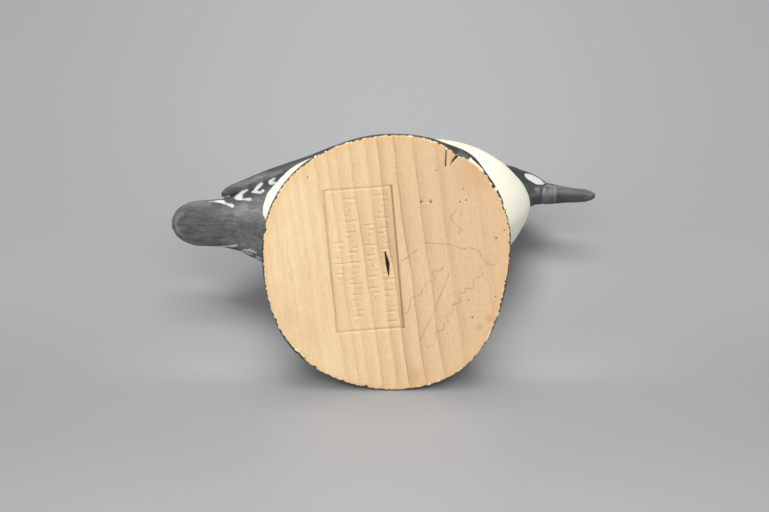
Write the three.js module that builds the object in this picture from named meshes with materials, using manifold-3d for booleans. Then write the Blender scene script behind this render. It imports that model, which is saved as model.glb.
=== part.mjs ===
// A miniature goldeneye drake, carved in wood and painted, on a knife-carved rock base.
// Millimetres, +Z up. The bill points to +X and the bird's left side to +Y.
// The origin is on the underside of the base, below the middle of the bird's length.
import * as THREE from "three";
import { mergeVertices } from "three/addons/utils/BufferGeometryUtils.js";
import Module from "manifold-3d";

const wasm = await Module();
wasm.setup();

// Driving dimensions of the whole piece
const TAIL_TIP_X = -50;
const BREAST_X = 34;
const BILL_TIP_X = 50;
const SEAT_Z = 13; // top of the rock, where the belly is cut flat to sit on it
const BIRD_SHIFT_Y = -0.4; // the bird sits a little to the right of the middle of the rock

// Smooth curve through [position, value] pairs, flat beyond its ends.
function profile(...pairs) {
  const slope = (i) => {
    const [low, high] = [pairs[Math.max(i - 1, 0)], pairs[Math.min(i + 1, pairs.length - 1)]];
    return (high[1] - low[1]) / (high[0] - low[0]);
  };
  return (position) => {
    if (position <= pairs[0][0]) return pairs[0][1];
    const i = pairs.findIndex((pair) => pair[0] >= position);
    if (i < 0) return pairs[pairs.length - 1][1];
    const [[from, start], [to, end]] = [pairs[i - 1], pairs[i]];
    const span = to - from;
    const t = (position - from) / span;
    return (
      (1 + 2 * t) * (1 - t) ** 2 * start +
      t * (1 - t) ** 2 * span * slope(i - 1) +
      t * t * (3 - 2 * t) * end +
      t * t * (t - 1) * span * slope(i)
    );
  };
}

const smoothStep = (low, high, value) => THREE.MathUtils.smoothstep(value, low, high);

// How full a rounded end is: 1 where the rounding starts and 0 at the tip.
function roundedEnd(position, start, tip, power) {
  const t = THREE.MathUtils.clamp((position - start) / (tip - start), 0, 1);
  return (1 - t * t) ** power;
}

// Stations from one end to the other, closer together towards both ends.
function stations(from, to, count) {
  return Array.from({ length: count }, (_, i) => {
    const t = (1 - Math.cos((Math.PI * (i + 0.5)) / count)) / 2;
    return from + (to - from) * t;
  });
}

// Closed solid through rings of points, with a point at each end.
function loft(rings, first, last) {
  const around = rings[0].length;
  const positions = [first, ...rings.flat(), last].flatMap((p) => [p.x, p.y, p.z]);
  const end = rings.length * around + 1;
  const at = (ring, k) => 1 + ring * around + (k % around);
  const faces = [];
  for (let k = 0; k < around; k++) {
    faces.push(0, at(0, k + 1), at(0, k));
    faces.push(end, at(rings.length - 1, k), at(rings.length - 1, k + 1));
    for (let ring = 0; ring + 1 < rings.length; ring++) {
      faces.push(at(ring, k), at(ring, k + 1), at(ring + 1, k + 1));
      faces.push(at(ring, k), at(ring + 1, k + 1), at(ring + 1, k));
    }
  }
  const geometry = new THREE.BufferGeometry();
  geometry.setAttribute("position", new THREE.Float32BufferAttribute(positions, 3));
  geometry.setIndex(faces);
  return solid(geometry);
}

// Turns a closed geometry into a solid that can be joined and cut.
function solid(geometry) {
  const bare = geometry.clone();
  bare.deleteAttribute("normal");
  bare.deleteAttribute("uv");
  const merged = mergeVertices(bare, 1e-4);
  const made = new wasm.Manifold(
    new wasm.Mesh({
      numProp: 3,
      vertProperties: Float32Array.from(merged.attributes.position.array),
      triVerts: Uint32Array.from(merged.index.array),
    }),
  );
  return made;
}

function namedMesh(name, made, material) {
  const mesh = made.getMesh();
  const geometry = new THREE.BufferGeometry();
  geometry.setAttribute("position", new THREE.BufferAttribute(mesh.vertProperties, 3));
  geometry.setIndex(new THREE.BufferAttribute(mesh.triVerts, 1));
  geometry.computeVertexNormals();
  const named = new THREE.Mesh(geometry, material);
  named.name = name;
  return named;
}

// The body and tail: half width, back line, belly line and the height of the widest line
const BREAST_START_X = 8; // where the rounding of the breast starts
const TAIL_CORNER_X = -43; // where the tail's end starts to round, seen from above
const TAIL_EDGE_X = -48; // where the tail's end starts to thin, seen from the side
const bodyWidth = profile(
  [TAIL_TIP_X, 5.6], [-44, 5.6], [-40, 5.7], [-37, 6.1], [-34, 7.1], [-30, 9.2], [-24, 12.1],
  [-18, 14.3], [-11, 16.7], [0, 19.2], [BREAST_START_X, 18.6],
);
const backLine = profile(
  [TAIL_TIP_X, 28.6], [-42, 29.8], [-36, 31.6], [-30, 34.6], [-24, 38], [-16, 42],
  [-8, 44.6], [0, 45.7], [BREAST_START_X, 45.4],
);
const bellyLine = profile(
  [TAIL_TIP_X, 27], [-40, 26], [-34, 24.2], [-28, 21.4], [-22, 18], [-16, 15],
  [-8, 12.6], [0, 11.8], [BREAST_START_X, 11.8],
);
const widestLine = profile(
  [TAIL_TIP_X, 27.8], [-40, 28], [-34, 28.6], [-28, 29.6], [-20, 30.4], [-10, 30.8],
  [0, 31], [BREAST_START_X, 32], [20, 35.8], [BREAST_X, 41],
);

// How square the section is above the widest line: 1 is an ellipse and less is fuller.
const upperPower = profile(
  [TAIL_TIP_X, 0.95], [-42, 0.92], [-36, 0.74], [-28, 0.66], [-18, 0.78], [-6, 0.88],
  [BREAST_START_X, 0.92],
);
const lowerPower = profile([BREAST_START_X, 0.94], [16, 1.08], [26, 1.22]);
const BREAST_SWAY = -0.45; // the breast is carved a little to the bird's right

// The folded wings stand a little proud of the back, above this line of heights.
const WING_RELIEF = 0.9;
const WING_STEP = 0.6; // half the height over which the relief fades out at the edge line
const WING_REAR_X = -38;
const WING_SHOULDER_X = 14;
const WING_FADE = 4; // length over which the relief fades out at both ends of the wing
const wingEdgeLine = profile(
  [-36, 31.4], [-30, 33], [-20, 34.4], [-8, 35], [4, 36.4], [11, 39.5], [WING_SHOULDER_X, 43],
);

function bodyRing(x, around) {
  const tailRound = roundedEnd(x, TAIL_CORNER_X, TAIL_TIP_X, 0.5);
  const wide = tailRound * roundedEnd(x, BREAST_START_X, BREAST_X, 0.66);
  const tailEnd = roundedEnd(x, TAIL_EDGE_X, TAIL_TIP_X, 0.5);
  const above = tailEnd * roundedEnd(x, BREAST_START_X, BREAST_X, 0.6);
  const below = tailEnd * roundedEnd(x, BREAST_START_X, BREAST_X, 0.72);
  const mid = widestLine(x);
  const sway = BREAST_SWAY * smoothStep(BREAST_START_X, BREAST_X, x);
  return Array.from({ length: around }, (_, k) => {
    const turn = (2 * Math.PI * k) / around;
    const [across, up] = [Math.cos(turn), Math.sin(turn)];
    const power = up > 0 ? upperPower(x) : lowerPower(x);
    const reach = up > 0 ? (backLine(x) - mid) * above : (mid - bellyLine(x)) * below;
    const point = new THREE.Vector3(
      x,
      sway + bodyWidth(x) * wide * Math.sign(across) * Math.abs(across) ** power,
      mid + reach * Math.sign(up) * Math.abs(up) ** power,
    );
    const onWing =
      smoothStep(-WING_STEP, WING_STEP, point.z - wingEdgeLine(x)) *
      smoothStep(WING_REAR_X, WING_REAR_X + WING_FADE, x) *
      (1 - smoothStep(WING_SHOULDER_X - WING_FADE, WING_SHOULDER_X, x));
    const outward = new THREE.Vector3(0, across, Math.max(up, 0)).normalize();
    return point.addScaledVector(outward, WING_RELIEF * onWing);
  });
}

function body() {
  const [rows, around] = [54, 44];
  const rings = stations(TAIL_TIP_X, BREAST_X, rows).map((x) => bodyRing(x, around));
  const tip = (x) => new THREE.Vector3(x, 0, widestLine(x));
  return loft(rings, tip(TAIL_TIP_X), tip(BREAST_X));
}

// The long flight feathers of one folded wing: a leaf that narrows to its tip over the rump.
const LEAF_ROOT_X = -12;
const LEAF_TIP_X = -38.8;
const LEAF_ROLL = THREE.MathUtils.degToRad(32);
const leafCentreY = profile([LEAF_TIP_X, 5.3], [-34, 6.4], [-26, 8.4], [LEAF_ROOT_X, 11.6]);
const leafCentreZ = profile([LEAF_TIP_X, 32.9], [-34, 34.4], [-26, 37.2], [LEAF_ROOT_X, 40.4]);
const leafHalfWidth = profile(
  [LEAF_TIP_X, 1.6], [-35, 2.6], [-30, 3.4], [-26, 3.7], [LEAF_ROOT_X, 4.7],
);
const LEAF_TOP = 1; // thickness above the leaf's middle
const leafDepth = profile([LEAF_TIP_X, 0.8], [-34, 1.7], [-26, 2.8], [LEAF_ROOT_X, 3]);
const LEAF_POINT = 2.3; // length of the rounding at the tip
const LEAF_SHOULDER = 6; // length of the rounding at the root
const [LEAF_RINGS, LEAF_AROUND] = [18, 16];

function flightFeathers(side) {
  const rings = stations(LEAF_TIP_X, LEAF_ROOT_X, LEAF_RINGS).map((x) => {
    const point = roundedEnd(x, LEAF_TIP_X + LEAF_POINT, LEAF_TIP_X, 0.5);
    const ends = point * roundedEnd(x, LEAF_ROOT_X - LEAF_SHOULDER, LEAF_ROOT_X, 0.5);
    return Array.from({ length: LEAF_AROUND }, (_, k) => {
      const turn = (side * 2 * Math.PI * k) / LEAF_AROUND;
      const across = leafHalfWidth(x) * ends * Math.cos(turn);
      const thickness = Math.sin(turn) > 0 ? LEAF_TOP : leafDepth(x);
      const up = thickness * ends * Math.sin(turn);
      const y = leafCentreY(x) + across * Math.cos(LEAF_ROLL) + up * Math.sin(LEAF_ROLL);
      const z = leafCentreZ(x) - across * Math.sin(LEAF_ROLL) + up * Math.cos(LEAF_ROLL);
      return new THREE.Vector3(x, side * y, z);
    });
  });
  const tip = (x) => new THREE.Vector3(x, side * leafCentreY(x), leafCentreZ(x));
  return loft(rings, tip(LEAF_TIP_X), tip(LEAF_ROOT_X));
}

// The neck and head, as level slices: nape, face and half width at each height
const NECK_FOOT_Z = 36;
const CROWN_Z = 63.4;
const nape = profile(
  [NECK_FOOT_Z, 0], [40, 4.5], [43, 10.4], [45.5, 14.4], [48, 16.8], [51, 18], [55, 18.2],
  [59, 18.8], [CROWN_Z, 20.6],
);
const face = profile(
  [NECK_FOOT_Z, 29], [39, 32.6], [42, 33.8], [44.5, 33.1], [46, 33], [47.5, 35.6], [49.5, 39.2], [52, 40.1],
  [54.5, 39.1], [57.5, 37.1], [60.5, 35], [CROWN_Z, 33.2],
);
const headWidth = profile(
  [NECK_FOOT_Z, 14], [40, 12.2], [43, 9.6], [45.5, 6.4], [47.5, 4.8], [50, 4.9], [53, 5.2],
  [56, 5.3], [60, 4.9], [CROWN_Z, 4.4],
);
// How much narrower the face is than the nape: most at the cheeks, below the eyes
const headTaper = profile([44, 0], [47, 0.45], [50, 0.5], [54, 0.24], [CROWN_Z, 0.2]);
const CROWN_START_Z = 57; // where the top of the head starts to round

function headRing(z, around) {
  const crown = roundedEnd(z, CROWN_START_Z, CROWN_Z, 0.5);
  const middle = (nape(z) + face(z)) / 2;
  const length = (face(z) - nape(z)) / 2;
  const taper = headTaper(z);
  return Array.from({ length: around }, (_, k) => {
    const turn = (2 * Math.PI * k) / around;
    const [forward, across] = [Math.cos(turn), Math.sin(turn)];
    return new THREE.Vector3(
      middle + length * crown * forward,
      headWidth(z) * crown * across * (1 - taper * forward),
      z,
    );
  });
}

function head() {
  const [rows, around] = [30, 36];
  const rings = stations(NECK_FOOT_Z, CROWN_Z, rows).map((z) => headRing(z, around));
  const tip = (z) => new THREE.Vector3((nape(z) + face(z)) / 2, 0, z);
  return loft(rings, tip(NECK_FOOT_Z), tip(CROWN_Z));
}

// The bill: half width, ridge and lower line
const BILL_ROOT_X = 34;
const BILL_ROOT_ROUND = 2;
const BILL_TIP_ROUND = 4.6; // seen from above
const BILL_TIP_THIN = 1.4; // seen from the side
const billWidth = profile(
  [BILL_ROOT_X, 2.65], [38.5, 2.5], [42, 2.08], [46, 1.78], [BILL_TIP_X, 1.75],
);
const billTop = profile(
  [BILL_ROOT_X, 54], [38.5, 53.5], [41, 52.1], [44, 50.8], [47, 50.2], [BILL_TIP_X, 49.9],
);
const billBottom = profile([BILL_ROOT_X, 47.4], [40, 47.9], [45, 47.8], [BILL_TIP_X, 48.3]);

function bill() {
  const [rows, around] = [18, 20];
  const rings = stations(BILL_ROOT_X, BILL_TIP_X, rows).map((x) => {
    const root = roundedEnd(x, BILL_ROOT_X + BILL_ROOT_ROUND, BILL_ROOT_X, 0.5);
    const wide = root * roundedEnd(x, BILL_TIP_X - BILL_TIP_ROUND, BILL_TIP_X, 0.5);
    const deep = root * roundedEnd(x, BILL_TIP_X - BILL_TIP_THIN, BILL_TIP_X, 0.5);
    const middle = (billTop(x) + billBottom(x)) / 2;
    return Array.from({ length: around }, (_, k) => {
      const turn = (2 * Math.PI * k) / around;
      const reach = (billTop(x) - billBottom(x)) / 2;
      return new THREE.Vector3(
        x,
        billWidth(x) * wide * Math.cos(turn),
        middle + reach * deep * Math.sin(turn),
      );
    });
  });
  const tip = (x) => new THREE.Vector3(x, 0, (billTop(x) + billBottom(x)) / 2);
  return loft(rings, tip(BILL_ROOT_X), tip(BILL_TIP_X));
}

// A block to cut with: its underside is the plane through a point, facing along a direction.
const BLOCK = 120;
function cuttingBlock(point, direction) {
  const block = new THREE.BoxGeometry(BLOCK, BLOCK, BLOCK);
  block.translate(0, 0, BLOCK / 2);
  const turned = new THREE.Quaternion().setFromUnitVectors(new THREE.Vector3(0, 0, 1), direction);
  block.applyQuaternion(turned);
  block.translate(point.x, point.y, point.z);
  return solid(block);
}

function duck() {
  const parts = [flightFeathers(1), flightFeathers(-1), head(), bill()];
  const whole = parts.reduce((joined, part) => joined.add(part), body());
  const seat = cuttingBlock(new THREE.Vector3(0, 0, SEAT_Z), new THREE.Vector3(0, 0, -1));
  return whole.subtract(seat).translate([0, BIRD_SHIFT_Y, 0]);
}

// The rock base: a low mound, its rim a rounded square, and its side cut in flat chips
const BASE_RADIUS = 29.3;
const RIM_WAVES = [
  { count: 2, depth: 1.29, turn: 188 },
  { count: 3, depth: 0.49, turn: 223 },
  { count: 4, depth: 0.47, turn: 190 },
  { count: 5, depth: 0.18, turn: 301 },
];
const RIM_SHIFT_Y = -0.18; // brings the middle of the rim's width to the origin
const moundShare = profile(
  [0, 0.991], [0.4, 1], [2, 0.985], [4, 0.95], [7, 0.87], [10.5, 0.76], [SEAT_Z, 0.64],
);

function rimRadius(turn) {
  const wave = (w) => w.depth * Math.cos(w.count * turn - THREE.MathUtils.degToRad(w.turn));
  return RIM_WAVES.reduce((radius, w) => radius + wave(w), BASE_RADIUS);
}

function moundRing(z, around) {
  return Array.from({ length: around }, (_, k) => {
    const turn = (2 * Math.PI * k) / around;
    const radius = rimRadius(turn) * moundShare(z);
    return new THREE.Vector3(radius * Math.cos(turn), radius * Math.sin(turn) + RIM_SHIFT_Y, z);
  });
}

// Each chip is a flat knife cut at a bearing round the rock, at a height, leaning in from upright.
const CHIP_ROWS = [
  { height: 4.6, lean: 30, count: 11, start: 9, bite: 0.4 },
  { height: 8.2, lean: 45, count: 9, start: 27, bite: 0.85 },
  { height: 11.8, lean: 62, count: 7, start: 3, bite: 0.6 },
];
const CHIP_WANDER = 7; // degrees that a chip may stand off its even place in the row
const CHIP_UNEVENNESS = 0.35; // share by which its bite may differ

// The one cut that takes off the lower edge of the rim, at the bird's front right
const UNDERCUT = { bearing: -62.5, inset: 1.1, lean: -38, height: 0 };

function chip(bearing, height, lean, bite) {
  const turn = THREE.MathUtils.degToRad(bearing);
  const tilt = THREE.MathUtils.degToRad(lean);
  const radius = rimRadius(turn) * moundShare(height) - bite;
  const point = new THREE.Vector3(radius * Math.cos(turn), radius * Math.sin(turn), height);
  const direction = new THREE.Vector3(
    Math.cos(turn) * Math.cos(tilt),
    Math.sin(turn) * Math.cos(tilt),
    Math.sin(tilt),
  );
  return cuttingBlock(point, direction);
}

function base() {
  const levels = [0, 0.4, 1.2, 2.4, 4, 5.6, 7.4, 9.2, 11, SEAT_Z];
  const around = 60;
  const rings = levels.map((z) => moundRing(z, around));
  let rock = loft(rings, new THREE.Vector3(0, 0, 0), new THREE.Vector3(0, 0, SEAT_Z));
  for (const row of CHIP_ROWS) {
    for (let i = 0; i < row.count; i++) {
      const wander = CHIP_WANDER * Math.sin(2.4 * i + row.start);
      const bearing = row.start + (360 * i) / row.count + wander;
      const bite = row.bite * (1 + CHIP_UNEVENNESS * Math.cos(3.1 * i + row.height));
      rock = rock.subtract(chip(bearing, row.height, row.lean, bite));
    }
  }
  return rock.subtract(chip(UNDERCUT.bearing, UNDERCUT.height, UNDERCUT.lean, UNDERCUT.inset));
}

const duckPaint = new THREE.MeshStandardMaterial({ color: "#e9e5d6", roughness: 0.5, metalness: 0 });
const rockPaint = new THREE.MeshStandardMaterial({ color: "#4a4843", roughness: 0.7, metalness: 0 });

const piece = new THREE.Group();
piece.add(namedMesh("rock_base", base(), rockPaint));
piece.add(namedMesh("goldeneye_drake", duck(), duckPaint));

export default piece;
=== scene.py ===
"""A miniature goldeneye drake on a carved rock: its fine meshes, its paint and its stage.

The drake and the rock repeat the shapes of the part's solids at a finer step. Shapes are worked out
in millimetres, +X towards the bill and +Y towards the bird's left, and are turned into metres when
their meshes are made.
"""

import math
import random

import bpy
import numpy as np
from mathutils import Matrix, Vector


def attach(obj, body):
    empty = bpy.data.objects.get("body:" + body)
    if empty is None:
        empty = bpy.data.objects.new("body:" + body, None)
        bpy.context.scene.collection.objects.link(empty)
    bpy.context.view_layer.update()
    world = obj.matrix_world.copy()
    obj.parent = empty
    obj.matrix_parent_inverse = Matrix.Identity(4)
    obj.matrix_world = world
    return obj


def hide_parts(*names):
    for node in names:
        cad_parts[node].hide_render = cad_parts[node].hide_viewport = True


bl_info = {
    "name": "Miniature goldeneye drake",
    "version": (1, 0, 0),
    "blender": (4, 5, 0),
    "location": "3D View > Sidebar > Drake",
    "description": "Builds a painted miniature drake, its rock base and a plain stage",
    "category": "Object",
}

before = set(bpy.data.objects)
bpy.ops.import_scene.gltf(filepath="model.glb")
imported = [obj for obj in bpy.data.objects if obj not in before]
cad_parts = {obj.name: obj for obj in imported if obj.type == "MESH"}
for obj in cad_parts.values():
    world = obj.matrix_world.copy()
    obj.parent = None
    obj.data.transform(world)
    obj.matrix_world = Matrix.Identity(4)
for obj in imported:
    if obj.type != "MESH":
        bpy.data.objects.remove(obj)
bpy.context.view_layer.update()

MM = 0.001

# The value of a distance where there is nothing near
FAR_OFF = 9.0

# Driving dimensions of the bird, in millimetres
TAIL_TIP_X = -50.0
BREAST_X = 34.0
BILL_TIP_X = 50.0
SEAT_Z = 13.0
BIRD_SHIFT_Y = -0.4

# The photograph's camera, as it stands to the part
CAMERA_DISTANCE = 600.0
CAMERA_TILT = math.radians(19.0)
FOCAL_PIXELS = 2700.0
PHOTO_SIZE = (769.0, 512.0)
PHOTO_AIM = (387.2, 264.5)


def profile(*pairs):
    """A smooth curve through (position, value) pairs, flat beyond its ends."""
    at = np.array([pair[0] for pair in pairs], float)
    value = np.array([pair[1] for pair in pairs], float)
    before = np.maximum(np.arange(len(at)) - 1, 0)
    after = np.minimum(np.arange(len(at)) + 1, len(at) - 1)
    slope = (value[after] - value[before]) / (at[after] - at[before])

    def curve(position):
        position = np.clip(np.asarray(position, float), at[0], at[-1])
        i = np.clip(np.searchsorted(at, position), 1, len(at) - 1)
        span = at[i] - at[i - 1]
        t = (position - at[i - 1]) / span
        start = (1 + 2 * t) * (1 - t) ** 2 * value[i - 1] + t * (1 - t) ** 2 * span * slope[i - 1]
        return start + t * t * (3 - 2 * t) * value[i] + t * t * (t - 1) * span * slope[i]

    return curve


def smooth_step(low, high, value):
    t = np.clip((value - low) / (high - low), 0, 1)
    return t * t * (3 - 2 * t)


def bell(away, width):
    """1 in the middle, falling softly towards 0 beyond a width."""
    return np.exp(-((away / width) ** 2))


def rounded_end(position, start, tip, power):
    """1 where the rounding starts and 0 at the tip."""
    t = np.clip((position - start) / (tip - start), 0, 1)
    return (1 - t * t) ** power


# Rows along each rounded form, and points round it
BODY_GRID = (120, 120)
LEAF_GRID = (50, 32)
HEAD_GRID = (70, 80)
BILL_GRID = (60, 48)

# The body and tail: half width, back line, belly line and the height of the widest line
BREAST_START_X = 8.0
TAIL_CORNER_X = -43.0
TAIL_EDGE_X = -48.0
body_width = profile(
    (TAIL_TIP_X, 5.6), (-44, 5.6), (-40, 5.7), (-37, 6.1), (-34, 7.1), (-30, 9.2), (-24, 12.1),
    (-18, 14.3), (-11, 16.7), (0, 19.2), (BREAST_START_X, 18.6),
)
back_line = profile(
    (TAIL_TIP_X, 28.6), (-42, 29.8), (-36, 31.6), (-30, 34.6), (-24, 38), (-16, 42),
    (-8, 44.6), (0, 45.7), (BREAST_START_X, 45.4),
)
belly_line = profile(
    (TAIL_TIP_X, 27), (-40, 26), (-34, 24.2), (-28, 21.4), (-22, 18), (-16, 15),
    (-8, 12.6), (0, 11.8), (BREAST_START_X, 11.8),
)
widest_line = profile(
    (TAIL_TIP_X, 27.8), (-40, 28), (-34, 28.6), (-28, 29.6), (-20, 30.4), (-10, 30.8),
    (0, 31), (BREAST_START_X, 32), (20, 35.8), (BREAST_X, 41),
)
upper_power = profile(
    (TAIL_TIP_X, 0.95), (-42, 0.92), (-36, 0.74), (-28, 0.66), (-18, 0.78), (-6, 0.88),
    (BREAST_START_X, 0.92),
)
lower_power = profile((BREAST_START_X, 0.94), (16, 1.08), (26, 1.22))
BREAST_SWAY = -0.45

# The folded wing stands proud above this line of heights
WING_REAR_X = -38.0
WING_SHOULDER_X = 14.0
WING_FADE = 4.0
WING_STEP = 0.3
wing_edge = profile(
    (-36, 31.4), (-30, 33), (-20, 34.4), (-8, 35), (4, 36.4), (11, 39.5), (WING_SHOULDER_X, 43),
)

# The leaf of long flight feathers at the rear of each wing
LEAF_ROOT_X = -12.0
LEAF_TIP_X = -38.8
LEAF_ROLL = math.radians(32)
LEAF_TOP = 1.0
LEAF_POINT = 2.3
LEAF_SHOULDER = 6.0
leaf_y = profile((LEAF_TIP_X, 5.3), (-34, 6.4), (-26, 8.4), (LEAF_ROOT_X, 11.6))
leaf_z = profile((LEAF_TIP_X, 32.9), (-34, 34.4), (-26, 37.2), (LEAF_ROOT_X, 40.4))
leaf_half_width = profile((LEAF_TIP_X, 1.6), (-35, 2.6), (-30, 3.4), (-26, 3.7), (LEAF_ROOT_X, 4.7))
leaf_depth = profile((LEAF_TIP_X, 0.8), (-34, 1.7), (-26, 2.8), (LEAF_ROOT_X, 3))

# The neck and head: nape, face and half width at each height
NECK_FOOT_Z = 36.0
CROWN_Z = 63.4
CROWN_START_Z = 57.0
nape = profile(
    (NECK_FOOT_Z, 0), (40, 4.5), (43, 10.4), (45.5, 14.4), (48, 16.8), (51, 18), (55, 18.2),
    (59, 18.8), (CROWN_Z, 20.6),
)
face = profile(
    (NECK_FOOT_Z, 29), (39, 32.6), (42, 33.8), (44.5, 33.1), (46, 33), (47.5, 35.6), (49.5, 39.2),
    (52, 40.1), (54.5, 39.1), (57.5, 37.1), (60.5, 35), (CROWN_Z, 33.2),
)
head_width = profile(
    (NECK_FOOT_Z, 14), (40, 12.2), (43, 9.6), (45.5, 6.4), (47.5, 4.8), (50, 4.9), (53, 5.2),
    (56, 5.3), (60, 4.9), (CROWN_Z, 4.4),
)
head_taper = profile((44, 0), (47, 0.45), (50, 0.5), (54, 0.24), (CROWN_Z, 0.2))

# The bill: half width, ridge and lower line
BILL_ROOT_X = 34.0
BILL_ROOT_ROUND = 2.0
BILL_TIP_ROUND = 4.6
BILL_TIP_THIN = 1.4
bill_width = profile((BILL_ROOT_X, 2.65), (38.5, 2.5), (42, 2.08), (46, 1.78), (BILL_TIP_X, 1.75))
bill_top = profile(
    (BILL_ROOT_X, 54), (38.5, 53.5), (41, 52.1), (44, 50.8), (47, 50.2), (BILL_TIP_X, 49.9),
)
bill_bottom = profile((BILL_ROOT_X, 47.4), (40, 47.9), (45, 47.8), (BILL_TIP_X, 48.3))


def loft_grid(start, stop, rows, around):
    """A column of positions, closer together towards both ends, and a row of angles round the axis."""
    t = (1 - np.cos(np.pi * (np.arange(rows) + 0.5) / rows)) / 2
    turn = 2 * np.pi * np.arange(around) / around
    return (start + (stop - start) * t)[:, None], turn[None, :]


def closed_loft(x, y, z, first, last):
    """Points and faces of a closed solid through rows of rings, with a point at each end."""
    rings = np.stack(np.broadcast_arrays(x, y, z), axis=2)
    rows, around = rings.shape[:2]
    points = np.vstack([[first], rings.reshape(-1, 3), [last]])
    end = rows * around + 1
    faces = []
    for k in range(around):
        after = (k + 1) % around
        faces.append((0, 1 + after, 1 + k))
        faces.append((end, end - around + k, end - around + after))
        for row in range(rows - 1):
            here = 1 + row * around
            faces.append((here + k, here + after, here + around + after, here + around + k))
    return points, faces


def signed_power(value, power):
    return np.sign(value) * np.abs(value) ** power


def body_loft(wing_relief):
    x, turn = loft_grid(TAIL_TIP_X, BREAST_X, *BODY_GRID)
    across, up = np.cos(turn), np.sin(turn)
    tail_thin = rounded_end(x, TAIL_EDGE_X, TAIL_TIP_X, 0.5)

    def breast_round(power):
        return rounded_end(x, BREAST_START_X, BREAST_X, power)

    wide = rounded_end(x, TAIL_CORNER_X, TAIL_TIP_X, 0.5) * breast_round(0.66)
    above = tail_thin * breast_round(0.6) * (back_line(x) - widest_line(x))
    below = tail_thin * breast_round(0.72) * (widest_line(x) - belly_line(x))
    power = np.where(up > 0, upper_power(x), lower_power(x))
    sway = BREAST_SWAY * smooth_step(BREAST_START_X, BREAST_X, x)
    y = sway + body_width(x) * wide * signed_power(across, power)
    z = widest_line(x) + np.where(up > 0, above, below) * signed_power(up, power)
    on_wing = (
        smooth_step(-WING_STEP, WING_STEP, z - wing_edge(x))
        * smooth_step(WING_REAR_X, WING_REAR_X + WING_FADE, x)
        * (1 - smooth_step(WING_SHOULDER_X - WING_FADE, WING_SHOULDER_X, x))
    )
    lift = np.maximum(up, 0)
    length = np.hypot(across, lift)
    y = y + wing_relief * on_wing * across / length
    z = z + wing_relief * on_wing * lift / length
    ends = [(end, 0, float(widest_line(end))) for end in (TAIL_TIP_X, BREAST_X)]
    return closed_loft(x, y, z, *ends)


def leaf_loft(side):
    x, turn = loft_grid(LEAF_TIP_X, LEAF_ROOT_X, *LEAF_GRID)
    turn = side * turn
    ends = rounded_end(x, LEAF_TIP_X + LEAF_POINT, LEAF_TIP_X, 0.5)
    ends = ends * rounded_end(x, LEAF_ROOT_X - LEAF_SHOULDER, LEAF_ROOT_X, 0.5)
    across = leaf_half_width(x) * ends * np.cos(turn)
    up = np.where(np.sin(turn) > 0, LEAF_TOP, leaf_depth(x)) * ends * np.sin(turn)
    y = leaf_y(x) + across * math.cos(LEAF_ROLL) + up * math.sin(LEAF_ROLL)
    z = leaf_z(x) - across * math.sin(LEAF_ROLL) + up * math.cos(LEAF_ROLL)
    ends = [(end, side * float(leaf_y(end)), float(leaf_z(end))) for end in (LEAF_TIP_X, LEAF_ROOT_X)]
    return closed_loft(x, side * y, z, *ends)


def head_loft():
    z, turn = loft_grid(NECK_FOOT_Z, CROWN_Z, *HEAD_GRID)
    forward, across = np.cos(turn), np.sin(turn)
    crown = rounded_end(z, CROWN_START_Z, CROWN_Z, 0.5)
    x = (nape(z) + face(z)) / 2 + (face(z) - nape(z)) / 2 * crown * forward
    y = head_width(z) * crown * across * (1 - head_taper(z) * forward)
    ends = [(float(nape(end) + face(end)) / 2, 0, end) for end in (NECK_FOOT_Z, CROWN_Z)]
    return closed_loft(x, y, z, *ends)


def bill_loft():
    x, turn = loft_grid(BILL_ROOT_X, BILL_TIP_X, *BILL_GRID)
    root = rounded_end(x, BILL_ROOT_X + BILL_ROOT_ROUND, BILL_ROOT_X, 0.5)
    wide = root * rounded_end(x, BILL_TIP_X - BILL_TIP_ROUND, BILL_TIP_X, 0.5)
    deep = root * rounded_end(x, BILL_TIP_X - BILL_TIP_THIN, BILL_TIP_X, 0.5)
    y = bill_width(x) * wide * np.cos(turn)
    z = (bill_top(x) + bill_bottom(x)) / 2 + (bill_top(x) - bill_bottom(x)) / 2 * deep * np.sin(turn)
    ends = [(end, 0, float(bill_top(end) + bill_bottom(end)) / 2) for end in (BILL_ROOT_X, BILL_TIP_X)]
    return closed_loft(x, y, z, *ends)


def new_object(name, data):
    made = bpy.data.objects.new(name, data)
    bpy.context.scene.collection.objects.link(made)
    return made


def new_mesh(name, points, faces):
    mesh = bpy.data.meshes.new(name)
    mesh.from_pydata(np.asarray(points).tolist(), [], faces)
    if mesh.validate():
        raise RuntimeError("the mesh of " + name + " had faulty faces")
    return mesh


def skin_over(name, lofts, voxel):
    """One closed fine mesh round overlapping closed lofts."""
    points, faces = [], []
    for loft_points, loft_faces in lofts:
        first = len(points)
        points.extend(loft_points.tolist())
        faces.extend(tuple(first + i for i in corners) for corners in loft_faces)
    rough = new_object(name + "_rough", new_mesh(name + "_rough", points, faces))
    remesh = rough.modifiers.new("Skin", "REMESH")
    remesh.mode = "VOXEL"
    remesh.voxel_size = voxel
    bpy.context.view_layer.update()
    evaluated = rough.evaluated_get(bpy.context.evaluated_depsgraph_get())
    mesh = bpy.data.meshes.new_from_object(evaluated)
    mesh.name = name
    old = rough.data
    bpy.data.objects.remove(rough)
    bpy.data.meshes.remove(old)
    return mesh


def three_each(items, name):
    """The three numbers that each point of a mesh has, as rows."""
    flat = np.empty(len(items) * 3, np.float32)
    items.foreach_get(name, flat)
    return flat.reshape(-1, 3).astype(float)


def set_points(mesh, points):
    mesh.vertices.foreach_set("co", points.astype(np.float32).ravel())
    mesh.update()


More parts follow.
